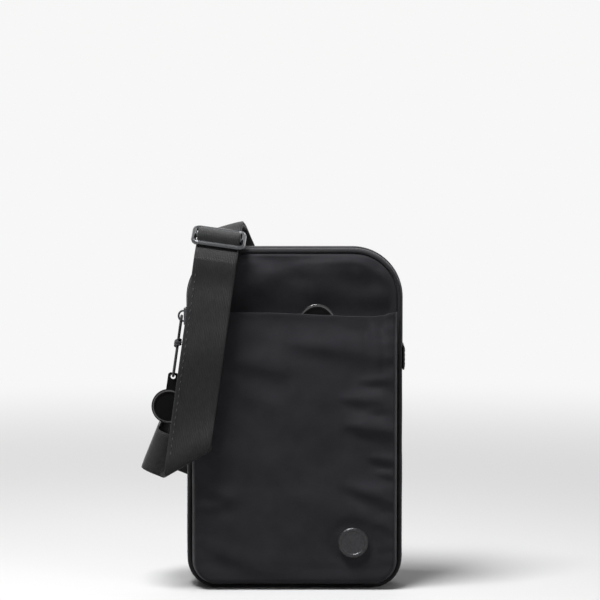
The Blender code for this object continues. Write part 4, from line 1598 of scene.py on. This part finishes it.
@dataclass
class SlipPocket:
    """The cloth pocket on the front, with its turned hem, puckers and soft folds."""

    size: BagSize
    finishes: Finishes
    cloth: float = 1.3 * MM
    round_off: float = 2.8 * MM
    soft_reach: float = 10 * MM
    hem: float = 0.3 * MM
    hem_down: float = 1.2 * MM
    hem_width: float = 2.0 * MM
    lean: float = -1.8 * MM
    lean_reach: float = 14 * MM
    badge_at: tuple[float, float] = (34.3 * MM, 28.4 * MM)
    badge_flat: float = 11 * MM
    badge_square: int = 6
    dent: float = -0.9 * MM
    dent_out: float = 11.5 * MM
    dent_width: float = 3.2 * MM
    calm_rolled: float = 0.35
    calm_seam: float = 0.5
    calm_reach: float = 9 * MM
    lowest: float = -1.6 * MM
    highest: float = 2.4 * MM
    disc_room: float = 6.5 * MM
    least_room: float = 0.25 * MM
    columns: int = 84
    rows: int = 84
    seam_rows: tuple[float, ...] = (0.0, 0.004, 0.010, 0.018, 0.028, 0.040, 0.055)
    middle_share: float = 0.925
    hem_rows: tuple[float, ...] = (0.986, 0.991, 0.995, 0.998, 1.0)
    back_narrow: float = 0.999
    gathers: Gathers = Gathers()
    layers: tuple[Rumple, ...] = (Rumple(1.3 * MM, 30, 32, 0.7, shear=9), Rumple(0.5 * MM, 62, 75, 5.1))
    sag: float = 2.6 * MM
    sags: tuple[tuple[float, float], ...] = (
        (-1.0, 0.10),
        (-0.65, 0.0),
        (-0.30, 0.08),
        (0.0, 0.30),
        (0.30, 0.62),
        (0.55, 0.90),
        (0.76, 1.0),
        (0.86, 0.70),
        (0.93, 0.15),
        (1.0, 0.05),
    )
    ridges: tuple[Ridge, ...] = (
        Ridge((36, 123), (66, 125), 3.0, 1.30),
        Ridge((25, 113), (50, 112), 3.6, 1.20),
        Ridge((27, 98), (66, 93), 4.4, 1.90),
        Ridge((42, 106), (66, 108), 2.6, 0.80),
        Ridge((42, 79), (66, 75), 3.0, 1.30),
        Ridge((46, 69), (66, 68), 2.2, 0.90),
        Ridge((25, 63), (66, 51), 4.0, 1.50),
        Ridge((44, 40), (66, 36), 3.0, 0.80),
        Ridge((-66, 66), (-38, 55), 3.0, 1.40),
        Ridge((-66, 48), (-40, 51), 2.8, 0.90),
        Ridge((-66, 84), (-44, 80), 3.4, 0.80),
        Ridge((52, 166), (56, 138), 2.2, 1.00),
        Ridge((43, 163), (50, 136), 3.0, 0.90),
        Ridge((-40, 136), (-8, 130), 6.0, 1.40),
        Ridge((-6, 146), (50, 139), 6.0, 1.20),
        Ridge((-36, 118), (-4, 108), 7.0, 0.90),
        Ridge((-54, 26), (-16, 12), 5.0, 0.90),
        Ridge((-10, 60), (20, 50), 8.0, 0.70),
    )

    def edge(self, x: float) -> float:
        """The height of the pocket's top edge.

        Args:
            x: The place across the bag.

        Returns:
            The height there.
        """
        share = x / self.size.reach(self.size.height / 2, self.size.panel_inset)
        for (a, low), (b, high) in zip(self.sags, self.sags[1:]):
            if share <= b:
                part = clamp((share - a) / (b - a))
                part = part * part * (3 - 2 * part)
                return self.size.pocket_edge - self.sag * (low + (high - low) * part)
        return self.size.pocket_edge - self.sag * self.sags[-1][1]

    def surface(self, u: float, w: float) -> Vector:
        """The pocket's outer surface.

        Args:
            u: The place across, from -1 to 1.
            w: The place up, from 0 to 1.

        Returns:
            The point.
        """
        size = self.size
        low = size.panel_inset
        guess = low + (size.pocket_edge - low) * w
        x = u * size.reach(guess, size.panel_inset)
        z = low + (self.edge(x) - low) * w
        inside = max(0.0, size.inside(x, min(z, size.height / 2), size.panel_inset))
        if z > size.height / 2:
            inside = min(inside, max(0.0, size.reach(z, size.panel_inset) - abs(x)))
        rest = max(0.0, self.round_off - inside)
        rise = math.sqrt(max(0.0, 1 - (rest / self.round_off) ** 2))
        soft = min(1.0, inside / self.soft_reach)
        lift = sum(ridge.lift(x / MM, z / MM) for ridge in self.ridges) * MM
        lift += sum(layer.lift(x, z) for layer in self.layers) * soft + self.gathers.lift(x, z, inside)
        down = self.edge(x) - z
        hem = self.hem * bell(down - self.hem_down, self.hem_width)
        lean = self.lean * bell(down, self.lean_reach)
        out = math.hypot(x - self.badge_at[0], z - self.badge_at[1])
        dent = self.dent * bell(out - self.dent_out, self.dent_width)
        calm = self.calm(rise, inside) * (1 - bell(out, self.badge_flat, self.badge_square))
        lift = max(self.lowest, min(lift * calm + hem + dent, self.highest)) + lean
        depth = size.pocket_back + (size.pocket_face - size.pocket_back) * rise
        room = (self.disc_room * rise if z > size.slot_low else 0.0) + self.least_room
        return Vector((x, -max(size.pocket_back + room, depth + lift), z))

    def calm(self, rise: float, inside: float) -> float:
        """How much of the folds' height is left near the seams.

        Args:
            rise: How far the cloth has risen from its seam, from 0 to 1.
            inside: The distance from the seam.

        Returns:
            The share that is left, 1 away from the seams.
        """
        rolled = self.calm_rolled + (1 - self.calm_rolled) * rise
        return rolled * (self.calm_seam + (1 - self.calm_seam) * min(1.0, inside / self.calm_reach))

    def dress(self) -> None:
        """Build the pocket as one sheet, with its rows closer at the base seam and at the hem."""
        columns = spread(-1.0, 1.0, self.columns)
        first = self.seam_rows[-1]
        rows = [first + self.middle_share * i / self.rows for i in range(1, self.rows + 1)]
        rows = [*self.seam_rows, *rows, *self.hem_rows]

        def behind(point: Vector) -> Vector:
            """Give the cloth's inner surface behind a point."""
            inner = min(-self.size.pocket_back, point.y + self.cloth)
            return Vector((point.x * self.back_narrow, inner, point.z))

        mesh = cloth_sheet("pocket", columns, rows, self.surface, behind)
        piece = put("pocket_cloth", mesh, self.finishes.nylon, "bag", ["slip_pocket"])


@dataclass(frozen=True)
class Seat:
    """Where a pull hangs: its point, its turn about the upright axis, and its lean across the bag."""

    place: tuple[float, float, float]
    turn: float
    lean: float

    def frame(self) -> Matrix:
        """Give the pull's frame: its cord hangs down the frame's third axis."""
        turned = Matrix.Translation(self.place) @ Matrix.Rotation(self.turn, 4, "Z")
        return turned @ Matrix.Rotation(self.lean, 4, "Y")


MAIN_SEAT = Seat(place=(-66.45 * MM, 0.0, 159.5 * MM), turn=0.0, lean=0.143)
SMALL_SEAT = Seat(place=(-38.9 * MM, -16.75 * MM, 147 * MM), turn=-0.035, lean=-math.pi / 2 - 0.329)


@dataclass(frozen=True)
class Coil:
    """A pull's knot: the cord's turns round its two strands."""

    turns: float = 2.75
    spans: int = 72
    radius: float = 1.42 * MM
    swell: float = 0.18 * MM
    height: float = 3.4 * MM
    lean: float = 0.45 * MM
    lean_from: float = 0.6
    tightness: float = 0.92

    def line(self, middle: float) -> list[Vector]:
        """The turns' centre line.

        Args:
            middle: The height of the knot's middle.

        Returns:
            The points along it, from the top down.
        """
        points = []
        for i in range(self.spans + 1):
            angle = math.tau * self.turns * i / self.spans
            share = i / self.spans
            swell = self.radius + self.swell * math.sin(math.pi * share)
            lean = self.lean * math.sin(angle + self.lean_from)
            height = middle + self.height / 2 - self.height * share + lean
            points.append(Vector((swell * math.cos(angle), swell * math.sin(angle), height)))
        return points


@dataclass
class Pull:
    """A zip's pull: the braided cord loop, its knot and the disc's rim. The slider and disc are the CAD's."""

    label: str
    body: str
    seat: Seat
    finishes: Finishes
    twist: float = 0.0
    droop: float = 0.0
    length: float = 36 * MM
    radius: float = 0.8 * MM
    knot: float = 16.2 * MM
    disc_radius: float = 10.3 * MM
    disc_drop: float = 18.15 * MM
    bead: float = 1.12 * MM
    inset: float = 1.05 * MM
    bead_spans: int = 64
    bead_sides: int = 16
    cord_sides: int = 10
    cord_spans: int = 5
    bridge_half: float = 2.6 * MM
    eye_half: float = 1.0 * MM
    eye_slack: float = 0.6 * MM
    strand_gap: float = 0.1 * MM
    knot_reach: float = 2.07 * MM
    twist_reach: float = 4.6 * MM
    coil: Coil = Coil()

    def strands(self) -> list[Vector]:
        """The loop's centre line in the pull's own frame.

        The shares in its list round off both ends and draw the strands together at the knot.

        Returns:
            The points that the loop passes, from the bridge round the eye and back.
        """
        near = self.radius + self.strand_gap
        low_half = self.eye_half + self.radius + self.eye_slack
        top_half = self.bridge_half
        turn = self.radius * 1.8
        end, knot = self.length, self.knot
        half = [
            (0.0, 0.0),
            (top_half * 0.72, -turn * 0.22),
            (top_half, -turn),
            (top_half * 0.92, -turn - knot * 0.25),
            (near * 1.15, -knot + self.knot_reach),
            (near, -knot),
            (near * 1.15, -knot - self.knot_reach),
            (low_half * 0.8, -end + (end - knot) * 0.55),
            (low_half, -end + (end - knot) * 0.25),
            (low_half, -end + turn),
            (low_half * 0.72, -end + turn * 0.22),
            (0.0, -end),
        ]
        loop = half + [(-y, z) for y, z in half[-2:0:-1]]
        points = []
        for y, z in loop:
            angle = self.twist * clamp((z + knot + self.twist_reach / 2) / self.twist_reach)
            points.append(Vector((-y * math.sin(angle), y * math.cos(angle), z)))
        return points

    def dress(self) -> None:
        """Build the cord, its knot and the disc's rim."""
        path = smooth_path(self.strands(), self.cord_spans, closed=True)
        cord = tube("cord", path, self.radius, self.cord_sides, closed=True)
        cord.transform(self.seat.frame())
        put(self.label + "_cord", cord, self.finishes.cord, self.body, [self.label + "_pull_cord"])
        knot = tube("knot", self.coil.line(-self.knot), self.radius * self.coil.tightness, self.cord_sides)
        knot.transform(self.seat.frame())
        put(self.label + "_knot", knot, self.finishes.cord, self.body)
        self.rim()

    def rim(self) -> None:
        """Build the rounded bead round the disc's edge."""
        end = self.seat.frame() @ Matrix.Translation((0, 0, -self.length))
        eye = end @ Matrix.Rotation(self.droop, 4, "Y")
        reach = self.disc_radius - self.inset
        circle = [math.tau * i / self.bead_spans for i in range(self.bead_spans)]
        path = [Vector((reach * math.cos(a), 0, -self.disc_drop + reach * math.sin(a))) for a in circle]
        bead = tube("rim", path, self.bead, self.bead_sides, closed=True)
        bead.transform(eye)
        # The bead takes the lighter, glossier copy of the disc's rubber, a painted highlight on the rim.
        put(self.label + "_disc_rim", bead, self.finishes.rim, self.label + "_disc")


@dataclass
class RingTab:
    """A tab of webbing round a ring's upper bar, sewn to the back panel.

    The bar's place, across and up, is found from the CAD's box where it isn't given. The seam's corners
    are in millimetres from the bar.
    """

    label: str
    finishes: Finishes
    bar: tuple[float, float] | None = None
    roll: float = 0.0
    bar_depth: float = 17.3 * MM
    bar_lift: float = 2.7 * MM
    sewn_depth: float = 15.2 * MM
    width: float = 25 * MM
    thickness: float = 1.2 * MM
    turn: float = 2.1 * MM
    turn_spans: int = 12
    knee: float = 11 * MM
    top: float = 16 * MM
    step_out: float = 1.5 * MM
    stitch_rise: float = 0.05 * MM
    seam: tuple[tuple[float, float], ...] = (
        (-10, 8.6),
        (10, 8.6),
        (10, 14.6),
        (-10, 14.6),
        (-10, 8.6),
        (10, 14.6),
    )

    def dress(self) -> None:
        """Build the tab over the CAD's solid, with its box of stitching."""
        low, high = (Vector(corner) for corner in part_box("ring_tab_" + self.label))
        across, up = self.bar or ((low.x + high.x) / 2, low.z + self.bar_lift)
        bar = Vector((across, self.bar_depth, up))
        radius, near = self.turn, self.sewn_depth - bar.y
        outer = near + self.step_out
        path = [(near, self.top), (near, self.knee), (near, radius * 2)]
        angles = [math.pi + math.pi * i / self.turn_spans for i in range(self.turn_spans + 1)]
        path += [(radius * math.cos(a), radius * math.sin(a)) for a in angles]
        path += [(radius, radius), (outer, radius * 3.5), (outer, self.knee), (outer, self.top)]
        section = flat_section(self.width, self.thickness, across=8)
        seat = Matrix.Translation(bar) @ Matrix.Rotation(self.roll, 4, "Y")
        rings, along, travelled = [], [], 0.0
        for i, here in enumerate(path):
            before, after = path[max(i - 1, 0)], path[min(i + 1, len(path) - 1)]
            run = Vector((after[0] - before[0], after[1] - before[1])).normalized()
            travelled += math.dist(here, path[i - 1]) if i else 0.0
            along.append(travelled)
            rings.append([seat @ Vector((v, here[0] - run.y * h, here[1] + run.x * h)) for v, h in section])
        mesh = swept_mesh("ring_tab", rings, along, section_steps(section))
        put("tab_" + self.label, mesh, self.finishes.webbing, "bag", ["ring_tab_" + self.label])
        y = outer + self.thickness / 2 + self.stitch_rise
        run = [seat @ Vector((x * MM, y, z * MM)) for x, z in self.seam]
        stitches("tab_stitches_" + self.label, [run], Vector((0, 1, 0)), self.finishes.thread)


def seen_rays(tree: bpy.types.NodeTree) -> bpy.types.NodeSocket:
    """Tell the rays that see the backdrop from those that only carry its light.

    Args:
        tree: The node tree that asks.

    Returns:
        A socket that is 1 for camera, glossy and transmission rays, and 0 for the others.
    """
    rays = tree.nodes.new("ShaderNodeLightPath")
    found = rays.outputs["Is Camera Ray"]
    for kind in ("Is Glossy Ray", "Is Transmission Ray"):
        either = tree.nodes.new("ShaderNodeMath")
        either.operation = "MAXIMUM"
        tree.links.new(found, either.inputs[0])
        tree.links.new(rays.outputs[kind], either.inputs[1])
        found = either.outputs[0]
    return found


@dataclass(frozen=True)
class Lamp:
    """A soft square light: its name, its place, the side of its square and its power in watts."""

    name: str
    place: tuple[float, float, float]
    side: float
    power: float

    def hang(self, aim: Vector) -> None:
        """Add the light to the scene.

        Args:
            aim: The point that it faces.
        """
        data = bpy.data.lights.new(self.name, "AREA")
        data.size = self.side
        data.energy = self.power
        lamp = bpy.data.objects.new(self.name, data)
        place = Vector(self.place)
        lamp.location = place
        lamp.rotation_euler = (aim - place).to_track_quat("-Z", "Y").to_euler()
        bpy.context.scene.collection.objects.link(lamp)


@dataclass
class Studio:
    """The plain pale floor, the soft lights and the camera at the photograph's angle.

    The centre, the width and both lines are in the photograph's pixels.
    """

    pixel: float = 0.5845 * MM
    distance: float = 1.9
    elevation: float = 5.0
    centre: tuple[float, float] = (300.0, 296.0)
    photo_width: int = 600
    middle_line: float = 294.5
    foot_line: float = 587.0
    front: float = -14 * MM
    sensor: float = 36.0
    clip_end: float = 20.0
    ambient: float = 0.11
    pale: float = 0.93
    ground_tone: float = 0.80
    bounce: float = 0.22
    floor_near: float = 0.30
    floor_far: float = 1.10
    floor_size: float = 60.0
    floor_roughness: float = 0.9
    white: tuple[float, float, float, float] = (1.0, 1.0, 1.0, 1.0)
    backdrop: tuple[float, float, float, float] = (1.0, 1.0, 0.998, 1.0)
    aim: tuple[float, float, float] = (0.0, 0.0, 0.1)
    lamps: tuple[Lamp, ...] = (
        Lamp("key", (-0.30, -0.34, 1.14), side=0.45, power=16.0),
        Lamp("fill", (1.0, -0.85, 0.55), side=0.5, power=2.2),
        Lamp("rim", (0.1, 0.9, 1.0), side=0.8, power=2.6),
    )

    def camera(self) -> None:
        """Place the camera so that the photograph's scale and framing hold at the bag's front."""
        data = bpy.data.cameras.new("camera")
        data.sensor_width = self.sensor
        data.lens = data.sensor_width * self.distance / (self.photo_width * self.pixel)
        data.clip_end = self.clip_end
        tilt = math.radians(self.elevation)
        across = (self.centre[0] - self.middle_line) * self.pixel
        target = Vector((across, self.front, (self.foot_line - self.centre[1]) * self.pixel))
        camera = bpy.data.objects.new("camera", data)
        camera.location = target + Vector((0, -math.cos(tilt), math.sin(tilt))) * self.distance
        camera.rotation_euler = (math.pi / 2 - tilt, 0, 0)
        bpy.context.scene.collection.objects.link(camera)
        bpy.context.scene.camera = camera

    def ground(self) -> bpy.types.Material:
        """Build the floor's finish: pale and shadowed near the bag, and the backdrop's white far away.

        Returns:
            The floor's material.
        """
        ground = NodeBuilder("floor")
        seen = seen_rays(ground.tree)
        coordinates = ground.add("TexCoord")
        away = ground.add("VectorMath", operation="LENGTH")
        ground.link(coordinates.outputs["Object"], away.inputs[0])
        far = ground.add("MapRange", interpolation_type="SMOOTHSTEP")
        far.inputs["From Min"].default_value = self.floor_near
        far.inputs["From Max"].default_value = self.floor_far
        ground.link(away.outputs["Value"], far.inputs["Value"])
        faded = ground.maths("MULTIPLY", far.outputs[0], self.ground_tone)
        shown = ground.maths("SUBTRACT", self.ground_tone, faded)
        bounced = ground.maths("MULTIPLY", ground.maths("SUBTRACT", 1.0, seen), self.bounce)
        tone = ground.maths("ADD", ground.maths("MULTIPLY", seen, shown), bounced)
        ground.link(tone, ground.shader.inputs["Base Color"])
        glow = ground.maths("MULTIPLY", ground.maths("MULTIPLY", seen, far.outputs[0]), self.pale)
        ground.shader.inputs["Emission Color"].default_value = self.white
        ground.link(glow, ground.shader.inputs["Emission Strength"])
        ground.shader.inputs["Roughness"].default_value = self.floor_roughness
        ground.shader.inputs["Specular IOR Level"].default_value = 0.0
        return ground.material

    def floor(self) -> None:
        """Build the floor that the bag stands on."""
        mesh = bpy.data.meshes.new("floor")
        build = bmesh.new()
        bmesh.ops.create_grid(build, x_segments=1, y_segments=1, size=self.floor_size)
        build.to_mesh(mesh)
        build.free()
        floor = bpy.data.objects.new("floor", mesh)
        bpy.context.scene.collection.objects.link(floor)
        mesh.materials.append(self.ground())

    def surroundings(self) -> None:
        """Build the backdrop: pale where it is seen, and dimmer where it only lights the bag."""
        world = bpy.data.worlds.new("studio")
        world.use_nodes = True
        tree = world.node_tree
        seen = tree.nodes["Background"]
        seen.inputs[0].default_value = self.backdrop
        seen.inputs[1].default_value = self.pale
        soft = tree.nodes.new("ShaderNodeBackground")
        soft.inputs[0].default_value = self.white
        soft.inputs[1].default_value = self.ambient
        both = tree.nodes.new("ShaderNodeMixShader")
        tree.links.new(seen_rays(tree), both.inputs[0])
        tree.links.new(soft.outputs[0], both.inputs[1])
        tree.links.new(seen.outputs[0], both.inputs[2])
        tree.links.new(both.outputs[0], tree.nodes["World Output"].inputs[0])
        bpy.context.scene.world = world

    def build(self) -> None:
        """Build the floor, the backdrop, the lights and the camera."""
        self.floor()
        self.surroundings()
        for lamp in self.lamps:
            lamp.hang(Vector(self.aim))
        bpy.context.scene.view_settings.view_transform = "Standard"
        self.camera()


def dress_hardware(finishes: Finishes) -> None:
    """Finish the rigid CAD nodes.

    Args:
        finishes: The bag's finishes.
    """
    for node in ("main_zip_slider", "small_zip_slider", "adjuster"):
        paint(node, finishes.hardware)
    for node in ("ring_left", "ring_right", "badge_washer"):
        paint(node, finishes.hardware)
    for node in ("main_pull_disc", "small_pull_disc"):
        # The discs take the darker, duller copy of their rubber, painted shade on their faces.
        paint(node, finishes.rubber)
    for node in ("zip_teeth_front", "zip_teeth_back", "small_zip_teeth_upper", "small_zip_teeth_lower"):
        paint(node, finishes.teeth)
    paint("badge", finishes.badge)


def main() -> None:
    """Build the studio and dress the bag."""
    logging.basicConfig(level=logging.INFO, format="%(message)s")
    Studio().build()
    finishes = Finishes()
    size = BagSize()
    Pouch(size, finishes).dress()
    SlipPocket(size, finishes).dress()
    main_pull = Pull("main", "main_pull", MAIN_SEAT, finishes)
    small_pull = Pull("small", "small_slider", SMALL_SEAT, finishes, math.pi / 2, 0.382, inset=0.75 * MM)
    for pull in (main_pull, small_pull):
        pull.dress()
    Strap().dress(finishes)
    RingTab("left", finishes).dress()
    RingTab("right", finishes, bar=(45.24 * MM, 158.04 * MM), roll=0.0704).dress()
    dress_hardware(finishes)
    bpy.context.view_layer.update()


if __name__ == "__main__":
    main()
